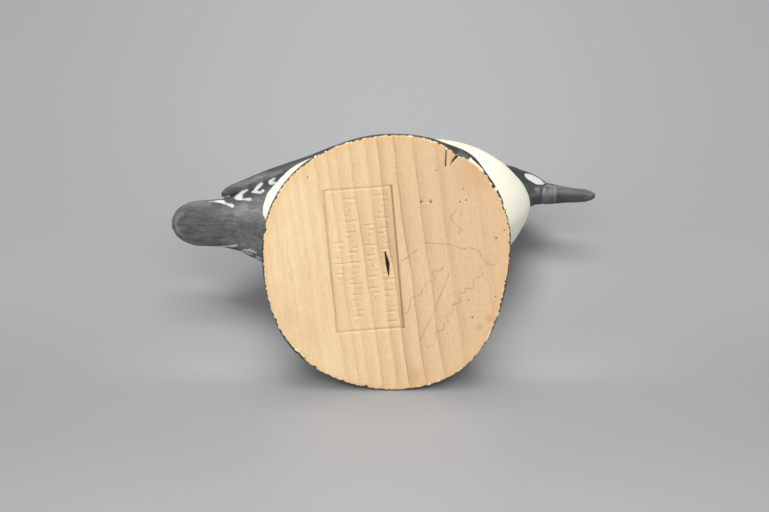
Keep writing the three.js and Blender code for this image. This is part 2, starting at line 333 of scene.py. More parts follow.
def neighbour_mean(mesh):
    """A function that gives the middle of each point's neighbours."""
    pairs = np.empty(len(mesh.edges) * 2, np.int32)
    mesh.edges.foreach_get("vertices", pairs)
    one, other = pairs.reshape(-1, 2).T
    count = len(mesh.vertices)
    neighbours = np.bincount(pairs, minlength=count)

    def mean(points):
        sums = [
            np.bincount(one, points[other, axis], count) + np.bincount(other, points[one, axis], count)
            for axis in range(3)
        ]
        return np.stack(sums, axis=1) / neighbours[:, None]

    return mean


def relaxed(mesh, points, rounds):
    """Evens out the steps of the voxels without shrinking the form."""
    mean = neighbour_mean(mesh)
    for share in [0.5, -0.52] * rounds:
        points = points + share * (mean(points) - points)
    return points


def sanded(mesh, points, rounds, where):
    """Rubs a hollow or an edge soft where the given share is above 0."""
    mean = neighbour_mean(mesh)
    for _ in range(rounds):
        points = points + 0.5 * where[:, None] * (mean(points) - points)
    return points


def set_fields(mesh, fields):
    """Numbers at every point, which a material reads by their names."""
    for name, values in fields.items():
        layer = mesh.attributes.new(name, "FLOAT", "POINT")
        layer.data.foreach_set("value", np.asarray(values, np.float32))


def photo_pixels(points):
    """Where points in millimetres show in the photograph."""
    x, y, z = points.T
    depth = CAMERA_DISTANCE + z * math.cos(CAMERA_TILT) + y * math.sin(CAMERA_TILT)
    px = PHOTO_AIM[0] + FOCAL_PIXELS * x / depth
    py = PHOTO_AIM[1] - FOCAL_PIXELS * (z * math.sin(CAMERA_TILT) - y * math.cos(CAMERA_TILT)) / depth
    return px, py


def underside_place(px, py):
    """The place on the flat underside that shows at a pixel of the photograph."""
    right, down = px - PHOTO_AIM[0], py - PHOTO_AIM[1]
    y = down * CAMERA_DISTANCE / (
        FOCAL_PIXELS * math.cos(CAMERA_TILT) - down * math.sin(CAMERA_TILT)
    )
    x = right * (CAMERA_DISTANCE + y * math.sin(CAMERA_TILT)) / FOCAL_PIXELS
    return x, y


def from_stretch(x, y, start, stop):
    """Each place's share along a straight stretch, its distance, and a sign: positive to the left."""
    along_x, along_y = stop[0] - start[0], stop[1] - start[1]
    from_x, from_y = x - start[0], y - start[1]
    share = np.clip((from_x * along_x + from_y * along_y) / math.hypot(along_x, along_y) ** 2, 0, 1)
    away = np.hypot(from_x - share * along_x, from_y - share * along_y)
    return share, away, along_x * from_y - along_y * from_x


def stroke(x, y, start, stop, wide_start, wide_stop):
    """How deep a place lies inside a straight brush stroke with round ends."""
    share, away, _ = from_stretch(x, y, start, stop)
    return (wide_start + (wide_stop - wide_start) * share) / 2 - away


def side_of_line(x, y, corners):
    """Distance from a run of straight stretches, positive to the left of the way they run."""
    best = np.full(np.shape(x), np.inf)
    signed = np.zeros(np.shape(x))
    for start, stop in zip(corners, corners[1:]):
        _, away, side = from_stretch(x, y, start, stop)
        nearer = away < best - 1e-9
        best = np.where(nearer, away, best)
        signed = np.where(nearer, np.where(side >= 0, away, -away), signed)
    return signed


def turned_from(bearing, centre):
    """The turn from one bearing to another, between half a turn back and half a turn on."""
    return (bearing - centre + math.pi) % (2 * math.pi) - math.pi


def ripple(x, y, z):
    """A slow unevenness, from -1 to 1, as a knife and sandpaper leave it."""
    one = np.sin(0.31 * x + 0.47 * y + 1.3) * np.sin(0.43 * z - 0.29 * x + 0.4)
    two = np.sin(0.83 * x - 0.61 * z + 2.1) * np.sin(0.77 * y + 0.52 * z)
    return 0.6 * one + 0.4 * two


# The rock: a wavy rim, a low mound and flat knife cuts round it
BASE_RADIUS = 29.3
# Waves of the rim: how many round it, how deep, and their turn in degrees
RIM_WAVES = ((2, 1.29, 188), (3, 0.49, 223), (4, 0.47, 190), (5, 0.18, 301))
RIM_SHIFT_Y = -0.18
mound_share = profile(
    (0, 0.991), (0.4, 1), (2, 0.985), (4, 0.95), (7, 0.87), (10.5, 0.76), (SEAT_Z, 0.64),
)
# Rows of knife cuts: height, lean in degrees, how many, the first one's bearing and the bite
CHIP_ROWS = ((4.6, 30, 11, 9, 0.4), (8.2, 45, 9, 27, 0.85), (11.8, 62, 7, 3, 0.6))
CHIP_SWAY = 7.0
SMALL_CUTS = 46
WORN_EDGE = 0.07
RIM_NICKS = 34
RIM_ROUNDING = 0.05
UNDERSIDE_CELLS = 224
SIDE_ROWS = 52
ROW_SPREAD = 1.25
SIDE_ROUGHNESS = 0.05
TOP_INSET = 0.985
TOP_DIPS = 0.22

# The hollow broken out of the underside's rim, its deepest notch, and the brow of rock above it
UNDERCUT_BEARING = math.radians(-62.5)
UNDERCUT_LEAN = math.radians(-38)
UNDERCUT_DEEP = 0.85
UNDERCUT_NOTCH = 1.9
UNDERCUT_TAIL = 6.2
UNDERCUT_HEAD = 3.8
BROW_BEARING = math.radians(-56)
BROW_TURN = 0.19
BROW_REACH = 1.15

# The pressed stamp on the underside: a ruled border round rows of plain strokes
STAMP_CENTRE = (-5.2, -0.9)
STAMP_TURN = math.radians(4.8)
STAMP_HALF = (7.7, 16.85)
STAMP_MARGIN = 0.6
STAMP_DEPTH = 0.17
# Each row's place across, its strokes' height and where it starts and ends
STAMP_ROWS = (
    (5.1, 2.4, -15.3, 15.8), (1.8, 2.0, -8.6, 10.9), (-2.2, 2.5, -15.0, 15.2), (-5.4, 2.1, -5.0, 6.8),
)
STROKE_WIDTH = 0.24
STROKE_LENGTHS = (1.0, 0.45, 0.8, 0.35)
STROKE_LIFTS = (0.0, 0.5, -0.1, -0.6)
# How much painted shade lies in the border's right side, its left side and the rest
RIGHT_SHADE = 0.95
LEFT_SHADE = 0.45
STROKE_SHADE = 0.14

# Splits in the wood, each with its two ends, its widths there and its depth, and two nail holes
SPLITS = (
    ((-0.5, -2.75), (0.1, 0.0), 0.2, 0.85, 0.9),
    ((0.1, 0.0), (0.35, 2.8), 0.85, 0.2, 0.9),
    ((12.9, -26.3), (12.8, -22.9), 0.22, 0.3, 0.5),
    ((15.5, -25.4), (14.3, -23.9), 0.6, 0.3, 0.5),
    ((14.3, -23.9), (13.6, -22.9), 0.3, 0.05, 0.3),
)
NAIL_HOLES = ((7.5, -14.6), (9.6, -14.6))
NAIL_WIDTH = 0.36
NAIL_DEPTH = 0.5
SLIT_EDGE = 0.06

# Where the growth lines cross the middle of the underside, how dark they are, and how they lean
GROWTH_LINES = (-12.8, -10.1, -7.9, -4.8, -1.4, 1.2, 5.0, 9.2, 14.1, 21.9)
GROWTH_DARKNESS = (0.34, 0.44, 0.6, 0.7, 0.8, 1.0, 0.84, 0.74, 0.7, 0.3)
GRAIN_LEAN = 0.132
GRAIN_REACH = 32.0
GRAIN_RELIEF = 0.03


def rim_radius(bearing):
    waves = [depth * np.cos(count * bearing - math.radians(turn)) for count, depth, turn in RIM_WAVES]
    return BASE_RADIUS + sum(waves)


def knife_cuts():
    """The bearing, lean, height and bite of each flat cut: the solid's large ones, then small ones."""
    cuts = []
    for height, lean, count, start, bite in CHIP_ROWS:
        for i in range(count):
            bearing = math.radians(start + 360 * i / count + CHIP_SWAY * math.sin(2.4 * i + start))
            deeper = 1 + 0.35 * math.cos(3.1 * i + height)
            cuts.append((bearing, math.radians(lean), height, bite * deeper))
    draw = random.Random(11)
    for _ in range(SMALL_CUTS):
        height = draw.uniform(2.5, 12)
        lean = 18 + 4.2 * height + draw.uniform(-12, 12)
        cuts.append((draw.uniform(0, 2 * math.pi), math.radians(lean), height, draw.uniform(0.08, 0.3)))
    return cuts


def rock_radius(bearing, height):
    """How far the rock reaches, with the edges between its cuts a little worn."""
    reach = rim_radius(bearing) * mound_share(height)
    total = np.ones_like(reach)
    for cut_bearing, lean, cut_height, bite in knife_cuts():
        radius = rim_radius(cut_bearing) * mound_share(cut_height) - bite
        plane = radius * math.cos(lean) + cut_height * math.sin(lean)
        facing = np.maximum(np.cos(bearing - cut_bearing), 0.3)
        limit = (plane - height * math.sin(lean)) / (math.cos(lean) * facing)
        total += np.exp(np.clip((reach - limit) / WORN_EDGE, -40, 200))
    brow = BROW_REACH * bell(turned_from(bearing, BROW_BEARING), BROW_TURN)
    brow = brow * smooth_step(0.5, 2.2, height) * (1 - smooth_step(4, 8, height))
    return reach - WORN_EDGE * np.log(total) + brow


def undercut_height(x, y):
    """How high the broken hollow in the rim lifts the underside."""
    out_x, out_y = math.cos(UNDERCUT_BEARING), math.sin(UNDERCUT_BEARING)
    along = y * out_x - x * out_y - UNDERCUT_NOTCH
    share = 1 - np.where(along < 0, -along / UNDERCUT_TAIL, along / UNDERCUT_HEAD)
    deep = UNDERCUT_DEEP * np.clip(share, 0, 1) ** 1.2 * (x * out_x + y * out_y > 0)
    beyond = np.hypot(x, y) - rim_radius(np.arctan2(y, x)) * float(mound_share(0)) + deep
    return beyond / math.tan(-UNDERCUT_LEAN)


def stamp_strokes():
    """Short plain strokes in rows, none touching another."""
    draw = random.Random(5)
    strokes = []
    for centre, tall, first, last in STAMP_ROWS:
        along = first + STAMP_MARGIN
        turn = 0
        while along < last - STAMP_MARGIN:
            half = tall / 2 * STROKE_LENGTHS[turn % 4]
            middle = centre + STROKE_LIFTS[turn % 4] * tall / 2
            lean = draw.uniform(-0.06, 0.06)
            if turn % 3 == 2:
                strokes.append(((middle, along - 0.15), (middle + lean, along + 0.3)))
            else:
                strokes.append(((middle - half, along - lean), (middle + half, along + lean)))
            along += draw.uniform(1.05, 1.4)
            turn += 1
    return strokes


def stamp_press(x, y):
    """How deep the stamp is pressed, and how much painted shade lies in it: most in its two long sides."""
    from_x, from_y = x - STAMP_CENTRE[0], y - STAMP_CENTRE[1]
    across = from_x * math.cos(STAMP_TURN) - from_y * math.sin(STAMP_TURN)
    along = from_x * math.sin(STAMP_TURN) + from_y * math.cos(STAMP_TURN)
    out = np.maximum(np.abs(across) - STAMP_HALF[0], np.abs(along) - STAMP_HALF[1])
    depth = STAMP_DEPTH * (1 - smooth_step(-0.1, 0.1, out)) * smooth_step(-0.6, -0.12, out)
    inside = out < 0
    pressed = np.zeros(np.count_nonzero(inside))
    for start, stop in stamp_strokes():
        deep = stroke(across[inside], along[inside], start, stop, STROKE_WIDTH, STROKE_WIDTH)
        pressed = np.maximum(pressed, smooth_step(-0.12, 0.12, deep))
    depth[inside] = np.maximum(depth[inside], STAMP_DEPTH * pressed)
    side = STAMP_HALF[0] - STAMP_MARGIN
    # Painted shade: the border's right side darkest, then its left side, then the strokes
    dirt = np.select([across > side, across < -side], [RIGHT_SHADE, LEFT_SHADE], STROKE_SHADE)
    return depth, dirt * depth / STAMP_DEPTH


# Faint pencil on the underside, as the photograph sees it: each sweep's ends, waves and reach
PENCIL_SWEEPS = (
    ((452, 209), (457, 235), 1.2, 4.5), ((424, 243), (466, 250), 1.0, 1.2),
    ((470, 249), (494, 268), 1.1, 3.0), ((489, 262), (468, 292), 2.6, 3.6),
    ((465, 290), (446, 322), 3.1, 3.4), ((444, 325), (430, 350), 1.7, 3.2),
    ((441, 268), (424, 292), 2.2, 3.8), ((422, 290), (402, 318), 1.6, 3.4),
    ((450, 276), (419, 342), 0.6, 2.0), ((402, 262), (418, 251), 0.5, 0.8),
)


def pencil_sweep(start, stop, waves, reach):
    """One waving sweep of the pencil, as points on the underside."""
    t = np.linspace(0, 1, 10 + int(14 * waves))
    along = np.subtract(stop, start)
    across = np.array([-along[1], along[0]]) / math.hypot(*along)
    wave = reach * np.sin(2 * np.pi * waves * t + reach) * (0.75 + 0.25 * np.cos(9 * t + reach))
    px, py = (np.outer(t, along) + start + np.outer(wave, across)).T
    return list(zip(*underside_place(px, py)))


def pencil_distances(x, y):
    """Distance from the nearest sweep, and the same with a sign for its side."""
    best = np.full(np.shape(x), FAR_OFF)
    signed = best
    for sweep in PENCIL_SWEEPS:
        side = side_of_line(x, y, pencil_sweep(*sweep))
        nearer = np.abs(side) < best
        best = np.where(nearer, np.abs(side), best)
        signed = np.where(nearer, side, signed)
    return best, signed


def nearest_growth_line(x, y):
    across = x - GRAIN_LEAN * y
    return np.min([np.abs(across - line) for line in GROWTH_LINES], axis=0)


def rim_nicks(bearing):
    """Small bites out of the sharp lower rim."""
    draw = random.Random(23)
    bites = np.zeros_like(bearing)
    for _ in range(RIM_NICKS):
        centre = draw.uniform(0, 2 * math.pi)
        wide = draw.uniform(0.006, 0.028)
        deep = draw.uniform(0.1, 0.42)
        away = np.abs(turned_from(bearing, centre))
        bites = np.maximum(bites, deep * (1 - smooth_step(0.3 * wide, wide, away)))
    return bites


def spread(count, low, high, gain):
    """Positions from -1 to 1 that lie closer together between low and high."""
    t = np.linspace(-1, 1, 4001)
    closer = smooth_step(low - 0.15, low + 0.05, t) * (1 - smooth_step(high - 0.05, high + 0.15, t))
    density = 1 + gain * closer
    total = np.cumsum(density) - density[0]
    return np.interp(np.linspace(0, 1, count + 1), total / total[-1], t)


def disc_grid(across, along):
    """A square grid drawn out into a round one: bearings, shares of the radius, rim and faces."""
    u, v = np.meshgrid(across, along, indexing="ij")
    x, y = (u * np.sqrt(1 - v * v / 2)).ravel(), (v * np.sqrt(1 - u * u / 2)).ravel()
    index = np.arange(u.size).reshape(u.shape)
    rim = np.concatenate([index[:-1, 0], index[-1, :-1], index[:0:-1, -1], index[0, :0:-1]])
    quads = np.stack([index[:-1, :-1], index[1:, :-1], index[1:, 1:], index[:-1, 1:]], axis=2)
    return np.arctan2(y, x), np.hypot(x, y), rim, quads.reshape(-1, 4)


def rock_underside(bearing, share):
    """The sawn underside with its stamp, splits and nail holes: its points and their fields."""
    foot = np.zeros_like(bearing)
    for _ in range(3):
        radius = rock_radius(bearing, foot)
        foot = np.maximum(undercut_height(radius * np.cos(bearing), radius * np.sin(bearing)), 0)
    radius = radius - rim_nicks(bearing) * (foot < 0.05)
    x, y = radius * share * np.cos(bearing), radius * share * np.sin(bearing)
    hollow = undercut_height(x, y)
    stamp, dirt = stamp_press(x, y)
    deep = stamp + GRAIN_RELIEF * smooth_step(0.05, 0.7, nearest_growth_line(x, y))
    for *split, depth in SPLITS:
        deep = np.maximum(deep, depth * smooth_step(-0.1, 0.14, stroke(x, y, *split)))
    for hole in NAIL_HOLES:
        inside = stroke(x, y, hole, (hole[0], hole[1] + 0.02), NAIL_WIDTH, NAIL_WIDTH)
        deep = np.maximum(deep, NAIL_DEPTH * smooth_step(-0.12, 0.1, inside))
    from_rim = radius * (share - 1)
    z = np.maximum(np.maximum(deep, hollow), RIM_ROUNDING * smooth_step(-0.3, 0.0, from_rim))
    edge = np.maximum(from_rim, hollow * math.tan(-UNDERCUT_LEAN))
    pencil, pencil_side = pencil_distances(x, y - RIM_SHIFT_Y)
    return np.stack([x, y, z], axis=1), np.stack([edge, dirt, pencil, pencil_side], axis=1)


def rock_side_row(bearing, bottom, nicks, row):
    """One ring of the rock's side, and how far it stands above the lower rim."""
    height = bottom + (SEAT_Z - bottom) * (row / SIDE_ROWS) ** ROW_SPREAD
    reach = rock_radius(bearing, height) - nicks * (1 - smooth_step(0.2, 1.0, height))
    x, y = reach * np.cos(bearing), reach * np.sin(bearing)
    rough = SIDE_ROUGHNESS * ripple(2.6 * x, 2.6 * y, 3.1 * height) * smooth_step(0, 1, height)
    scale = 1 - np.abs(rough) / reach * (row < SIDE_ROWS)
    return np.stack([x * scale, y * scale, height], axis=1), height - bottom + 0.05


def rock_top(bearing, share):
    """The top, flat where the bird sits and with shallow dips near its edge."""
    radius = rock_radius(bearing, np.full_like(bearing, SEAT_Z)) * share * TOP_INSET
    x, y = radius * np.cos(bearing), radius * np.sin(bearing)
    dips = TOP_DIPS * np.maximum(ripple(1.3 * x, 1.3 * y, 2.0), 0) * smooth_step(0.55, 0.8, share)
    return np.stack([x, y, SEAT_Z - dips * (1 - smooth_step(0.93, 1, share))], axis=1)


def rock_shape():
    """The rock's points and faces, and the fields of its paint edge, its painted shade in the stamp and its
    pencil marks.
    """
    across = spread(UNDERSIDE_CELLS, -0.45, 0.1, 0.8)
    along = spread(UNDERSIDE_CELLS, -0.6, 0.55, 0.8)
    bearing, share, rim, quads = disc_grid(across, along)
    sawn, sawn_fields = rock_underside(bearing, share)
    points, faces, edges = [sawn], [quads[:, ::-1]], [sawn_fields[:, 0]]

    side_bearing = bearing[rim[::2]]
    bottom = sawn[rim[::2], 2]
    nicks = rim_nicks(side_bearing)
    for row in range(1, SIDE_ROWS + 1):
        ring, above = rock_side_row(side_bearing, bottom, nicks, row)
        points.append(ring)
        edges.append(above)
    first, around = len(sawn), len(side_bearing)
    k = np.arange(around)
    after = (k + 1) % around
    for low, middle, high, one, other in zip(rim[::2], rim[1::2], rim[2 * after], first + k, first + after):
        faces.append([(low, middle, one), (middle, high, other, one)])
    for lower in range(first, first + (SIDE_ROWS - 1) * around, around):
        upper = lower + around
        faces.append(np.stack([lower + k, lower + after, upper + after, upper + k], axis=1))

    top_bearing, top_share, top_rim, top_quads = disc_grid(across[::2], along[::2])
    top_start = first + SIDE_ROWS * around
    points.append(rock_top(top_bearing, top_share))
    edges.append(np.full(len(top_bearing), 20.0))
    ring = top_start + top_rim
    upper = top_start - around
    faces.append(top_quads + top_start)
    faces.append(np.stack([upper + k, upper + after, ring[after], ring[k]], axis=1))
    points = np.vstack(points)
    points[:, 1] += RIM_SHIFT_Y
    faces = [tuple(int(i) for i in corners) for group in faces for corners in group]
    fields = {"edge": np.concatenate(edges)}
    rest = len(points) - len(sawn)
    for column, name, beyond in ((1, "dirt", 0.0), (2, "pencil", FAR_OFF), (3, "pencil_side", FAR_OFF)):
        fields[name] = np.concatenate([sawn_fields[:, column], np.full(rest, beyond)])
    return points, faces, fields


# Painted borders, as points of a side view: x and z in millimetres
WHITE_EDGE = (
    (-23, 14), (-24.5, 17.5), (-26, 20.2), (-27.2, 21.2), (-28.1, 21.75), (-28.55, 22.3), (-28.4, 22.9),
    (-27.5, 24.3), (-26.4, 25), (-25.2, 25.9), (-23.7, 27.6), (-21.1, 31), (-18.4, 32.9), (-15.5, 34),
    (-10, 34.3), (-4, 34.5), (4, 35.7), (9, 38.2), (11.2, 41), (11.2, 43.5), (10, 46), (9.5, 52),
)
COLLAR_Z = 45.8
BILL_EDGE = ((36.4, 45.5), (37.1, 47.8), (38.1, 50.3), (37.9, 53), (36.6, 56))
PATCH = ((34.7, 52.2), (36.3, 51.6))
PATCH_WIDTH = 3.4
EYE_CENTRE = (33.0, 57.3)
EYE_RADIUS = 1.2
PUPIL_RADIUS = 0.62
SCAPULARS = 5
mouth_line = profile((36, 49.2), (42, 49.1), (47, 48.7), (BILL_TIP_X, 48.5))
FEATHER_LINES = (-0.5, 0.0, 0.5)
FEATHER_GLINT = 0.08
TAIL_LINES = (-4, -2.4, -0.8, 0.8, 2.4, 4)
# Knife lines: how deep and how wide each kind is
FEATHER_GROOVE = (0.2, 0.11)
TAIL_GROOVE = (0.16, 0.22)
MOUTH_GROOVE = (0.22, 0.2)
EYE_GROOVE = (0.14, 0.25)
RIPPLE_DEPTH = 0.05
LOWER_BILL_STEP = 0.26
NOSTRIL = ((42.2, 51.1), (43.5, 50.6), 0.45, 0.35)
NOSTRIL_DEPTH = 0.3
BILL_ROOT_LINE = ((37.6, 54.2), (37.2, 47.6), 0.3, 0.3)
BILL_ROOT_DEPTH = 0.15
# Greys of the dark paint and the bill, how much paler the vent is, and how much the painted highlights of
# the wing, the tail's edge and the feather lines add
DARK_TONE = 0.098
BILL_TONE = 0.058
VENT_PALER = 0.075
WING_HIGHLIGHT_PALER = 0.075
TAIL_GLINT_PALER = 0.09
FEATHER_GLINT_PALER = 0.05
# Bands across the underside of the bill: place, width and how much paler
BILL_BANDS = ((40.2, 0.16, 0.17), (41.2, 0.5, -0.02), (37.3, 0.15, 0.05))
# Above the flanks, above the bill, and how far a surface turns to a side to carry a side's mark
FLANK_Z = 33.0
FACE_Z = 50.0
SIDE_FACING = 0.25
# How often the skin is evened, and the wing's crease and the breast's ridge are sanded
SKIN_ROUNDS = 4
CREASE_ROUNDS = 60
RIDGE_ROUNDS = 30

# White brush marks on the flank, as the photograph sees them: ends and widths in its pixels
PHOTO_SCALE = 4.2
FLANK_MARKS = (
    ((209.5, 201.7), (217.0, 201.6), 0.5, 1.9), ((217.0, 201.6), (223.0, 202.2), 1.9, 3.9),
    ((222.4, 202.4), (227.0, 204.4), 3.0, 1.7), ((227.0, 204.4), (232.4, 206.1), 1.9, 3.6),
    ((220.0, 198.4), (229.0, 196.7), 1.1, 2.0),
    ((234.6, 198.3), (240.0, 197.4), 1.2, 5.2), ((237.6, 197.6), (242.0, 192.9), 4.2, 3.6),
    ((242.0, 192.9), (247.6, 190.2), 3.4, 1.4), ((237.0, 198.9), (243.0, 199.5), 2.6, 1.9),
    ((245.0, 199.5), (250.4, 199.6), 2.3, 2.7),
    ((252.0, 192.4), (256.4, 191.6), 1.2, 3.6), ((254.8, 191.2), (259.0, 186.2), 2.8, 3.5),
    ((259.0, 186.2), (261.8, 184.0), 3.5, 2.6), ((255.5, 192.5), (260.4, 192.7), 2.4, 1.9),
    ((260.4, 192.7), (263.2, 190.8), 1.9, 2.6),
    ((269.4, 182.6), (271.0, 182.7), 2.0, 4.0), ((270.4, 181.8), (274.8, 178.4), 3.2, 1.5),
    ((270.6, 183.6), (275.0, 183.0), 2.8, 2.0),
)
# The marks of the left flank, where its lowest part just shows
LOW_MARKS = (
    ((225.5, 247.0), (236.5, 245.6), 1.2, 2.2), ((242.5, 250.8), (250.0, 250.6), 1.4, 2.9),
    ((250.0, 250.6), (256.0, 253.0), 2.9, 1.6), ((256.6, 257.4), (260.4, 258.7), 1.8, 2.2),
)
MARK_BAND = ((216, 201.5), (232, 201), (243, 196.5), (256, 189), (270, 180.5), (281, 173.5))
WING_HIGHLIGHT = ((255, 179), (262, 176.8), (270, 175.2), (281, 172))
WING_HIGHLIGHT_LOW = ((256.5, 182.2), (262.5, 181.4))
WING_NOTCH = (222.2, 195.2)
PALE_VENT = (248, 213)
TAIL_GLINT = ((175.8, 224), (178.5, 217.5), (183.5, 213))


def leaf_place(points):
    """How far across a flight-feather leaf each point lies, from -1 to 1, and whether it is on it."""
    x, y, z = points.T
    from_y, from_z = np.abs(y) - leaf_y(x), z - leaf_z(x)
    across = from_y * math.cos(LEAF_ROLL) - from_z * math.sin(LEAF_ROLL)
    up = from_y * math.sin(LEAF_ROLL) + from_z * math.cos(LEAF_ROLL)
    inside = (x > LEAF_TIP_X) & (x < LEAF_ROOT_X - 2) & (up > -0.6)
    return across / leaf_half_width(x), inside & (np.abs(across) < leaf_half_width(x) + 0.3)


def wing_crease(points):
    """Where the flight feathers lie close along the flank, from 0 to 1."""
    x, y, z = points.T
    along = smooth_step(LEAF_TIP_X - 1, LEAF_TIP_X + 2, x) * (1 - smooth_step(-18, LEAF_ROOT_X, x))
    return along * bell(z - leaf_z(x) + 2.9, 1.5) * (np.abs(y) > 4.5)


def breast_ridge(points):
    """The widest line round the breast, from 0 to 1."""
    x, _, z = points.T
    return smooth_step(12, 20, x) * bell(z - widest_line(x), 2.4)


def from_eye(x, z):
    """Distance from the rim of the eye, positive outside it."""
    return np.hypot(x - EYE_CENTRE[0], z - EYE_CENTRE[1]) - EYE_RADIUS


def carve_bird(points, normals):
    """Knife work finer than the solid's: feather lines, mandibles, nostrils and a tool's ripple."""
    x, y, z = points.T

    def groove(away, size):
        return size[0] * bell(away, size[1])

    depth = RIPPLE_DEPTH * ripple(x, y, z)
    across, on_leaf = leaf_place(points)
    for line in FEATHER_LINES:
        depth = depth + on_leaf * groove(across - line, FEATHER_GROOVE)
    tail_top = smooth_step(-36.5, -39, x) * (x < -37) * (normals[:, 2] > 0.2)
    for line in TAIL_LINES:
        fanned = line * (1 + 0.01 * (x + 40))
        depth = depth + tail_top * groove(y - fanned, TAIL_GROOVE)
    on_bill = smooth_step(37.6, 38.6, x) * (z > 46) * (z < 55)
    mouth = z - mouth_line(x)
    lower = LOWER_BILL_STEP * smooth_step(0.15, -0.15, mouth)
    depth = depth + on_bill * (groove(mouth, MOUTH_GROOVE) + lower)
    depth = depth + on_bill * NOSTRIL_DEPTH * smooth_step(-0.2, 0.15, stroke(x, z, *NOSTRIL))
    root_line = smooth_step(-0.4, 0.1, stroke(x, z, *BILL_ROOT_LINE)) * (x > 36) * (np.abs(y) < 3.6)
    depth = depth + BILL_ROOT_DEPTH * root_line
    depth = depth + groove(from_eye(x, z) - EYE_GROOVE[1], EYE_GROOVE) * (z > FACE_Z)
    return points - normals * depth[:, None]


def white_marks(points, normals, px, py):
    """How deep each point lies in a white brush mark of the flanks, the shoulders or the cheeks."""
    x, y, z = points.T
    side = np.abs(normals[:, 1]) > SIDE_FACING
    below = z < FLANK_Z
    own_px, own_py = photo_pixels(points + (0, BIRD_SHIFT_Y, 0))
    towards = -normals[:, 1] * math.sin(CAMERA_TILT) - normals[:, 2] * math.cos(CAMERA_TILT)
    shows = (y > 0) & below & (towards > 0)
    marks = [(below, stroke(px, py, *mark) / PHOTO_SCALE) for mark in FLANK_MARKS]
    marks += [(shows, stroke(own_px, own_py, *mark) / PHOTO_SCALE) for mark in LOW_MARKS]
    for i in range(SCAPULARS):
        front = 7.5 - 4.7 * i
        mark = stroke(x, z, (front, 42.6 - 0.2 * i), (front - 6.8, 37.6 - 0.25 * i), 2.0, 1.1)
        marks.append((side & (z > 34), mark))
    marks.append((side & (z > 46), stroke(x, z, *PATCH, PATCH_WIDTH, PATCH_WIDTH)))
    white = np.full(len(x), -FAR_OFF)
    for where, mark in marks:
        white = np.where(where, np.maximum(white, mark), white)
    return white


def dark_tones(points, normals, px, py):
    """How pale the dark paint is: worn on the vent, with painted highlights on the wings, the tail's edge
    and the feather lines, painted shade at the wing's tip, and deep round the white marks.
    """
    x, y, z = points.T

    def near(path, reach):
        return bell(side_of_line(px, py, path), reach)

    on_wing = (np.abs(y) > 4) & (z > 29) & (z < 39)
    # Painted highlights along the folded wing's lower edge
    wing_highlight = on_wing * (near(WING_HIGHLIGHT, 2.6) + 0.7 * near(WING_HIGHLIGHT_LOW, 1.4))
    vent = bell(px - PALE_VENT[0], 21) * bell(py - PALE_VENT[1], 12) * (z < FLANK_Z)
    band = smooth_step(-2.0, -0.9, -np.abs(side_of_line(px, py, MARK_BAND)) / PHOTO_SCALE) * (z < 34)
    tone = DARK_TONE + VENT_PALER * vent
    tone = tone * (1 - 0.5 * band * (1 - 0.8 * np.minimum(wing_highlight, 1)))
    tone = tone * (1 - 0.6 * smooth_step(30, 38, z) * smooth_step(-40, -32, x))
    leaf_edge = on_wing & (np.abs(y) > leaf_y(x) - 1) & (z > leaf_z(x) - 0.6)
    # The wing's painted highlights are added here
    tone = tone * (1 - 0.35 * leaf_edge) + WING_HIGHLIGHT_PALER * wing_highlight
    # Painted shade in the notch at the wing's tip
    notch = np.hypot(px - WING_NOTCH[0], py - WING_NOTCH[1])
    tone = tone * (1 - 0.75 * bell(notch, 2.2) * (z > 28))
    # Painted highlight along the tail's edge
    tone = tone + TAIL_GLINT_PALER * near(TAIL_GLINT, 1.5) * (normals[:, 2] < 0.1)
    across, on_leaf = leaf_place(points)
    # Painted highlights beside each carved feather line
    for line in FEATHER_LINES:
        tone = tone + FEATHER_GLINT_PALER * on_leaf * bell(across - line - FEATHER_GLINT, 0.07)
    return tone


def bill_tones(points, normals):
    """The greys of the bill: paler under its root, along its edge and at its tip, with painted shade in the
    mouth's groove.
    """
    x, _, z = points.T
    mouth = z - mouth_line(x)
    tone = BILL_TONE + 0.045 * smooth_step(39.9, 39.4, x) * (normals[:, 2] < 0)
    for line, width, paler in BILL_BANDS:
        tone = tone + paler * bell(x - line, width) * (normals[:, 2] < -0.2)
    tone = tone + 0.05 * bell(mouth - 0.55, 0.4) + 0.07 * smooth_step(46.5, 49.2, x)
    # Painted shade along the carved mouth groove
    return tone * (1 - 0.6 * bell(mouth, 0.22))


def bird_fields(points, normals):
    """Signed distances and tones that the paint reads: positive inside each painted shape."""
    x, y, z = points.T
    seen = points.copy()
    seen[:, 1] = -np.abs(y) + BIRD_SHIFT_Y
    px, py = photo_pixels(seen)
    collar = z - COLLAR_Z - 0.25 * np.sin(0.7 * x)
    eye_side = (np.abs(normals[:, 1]) > SIDE_FACING) & (z > FACE_Z)
    return {
        "dark": side_of_line(x, z, WHITE_EDGE),
        "head": np.where(x < 8, -5, collar),
        "bill": np.minimum.reduce([-side_of_line(x, z, BILL_EDGE), 55.5 - z, z - 46.4]),
        "white": white_marks(points, normals, px, py),
        "eye": np.where(eye_side, -from_eye(x, z), -FAR_OFF),
        "dark_tone": dark_tones(points, normals, px, py),
        "bill_tone": bill_tones(points, normals),
    }


class Tone:
    """A number or a colour on its way from one node to the next. Arithmetic on it adds nodes."""

    def __init__(self, finish, socket):
        self.finish = finish
        self.socket = socket

    def __add__(self, other):
        return self.finish.math("ADD", self, other)

    def __sub__(self, other):
        return self.finish.math("SUBTRACT", self, other)

    def __rsub__(self, other):
        return self.finish.math("SUBTRACT", other, self)

    def __mul__(self, other):
        return self.finish.math("MULTIPLY", self, other)

    def __abs__(self):
        return self.finish.math("ABSOLUTE", self)

    def step(self, low, high, start=0, stop=1):
        """Goes smoothly from start to stop while this goes from low to high."""
        values = (self, low, high, start, stop)
        return self.finish.result("ShaderNodeMapRange", values, interpolation_type="SMOOTHSTEP")

    def coated(self, colour, share):
        """This colour with another laid over it."""
        return self.finish.mix(share, self, colour)

    def shaded(self, amount):
        return self.finish.shade(self, amount)


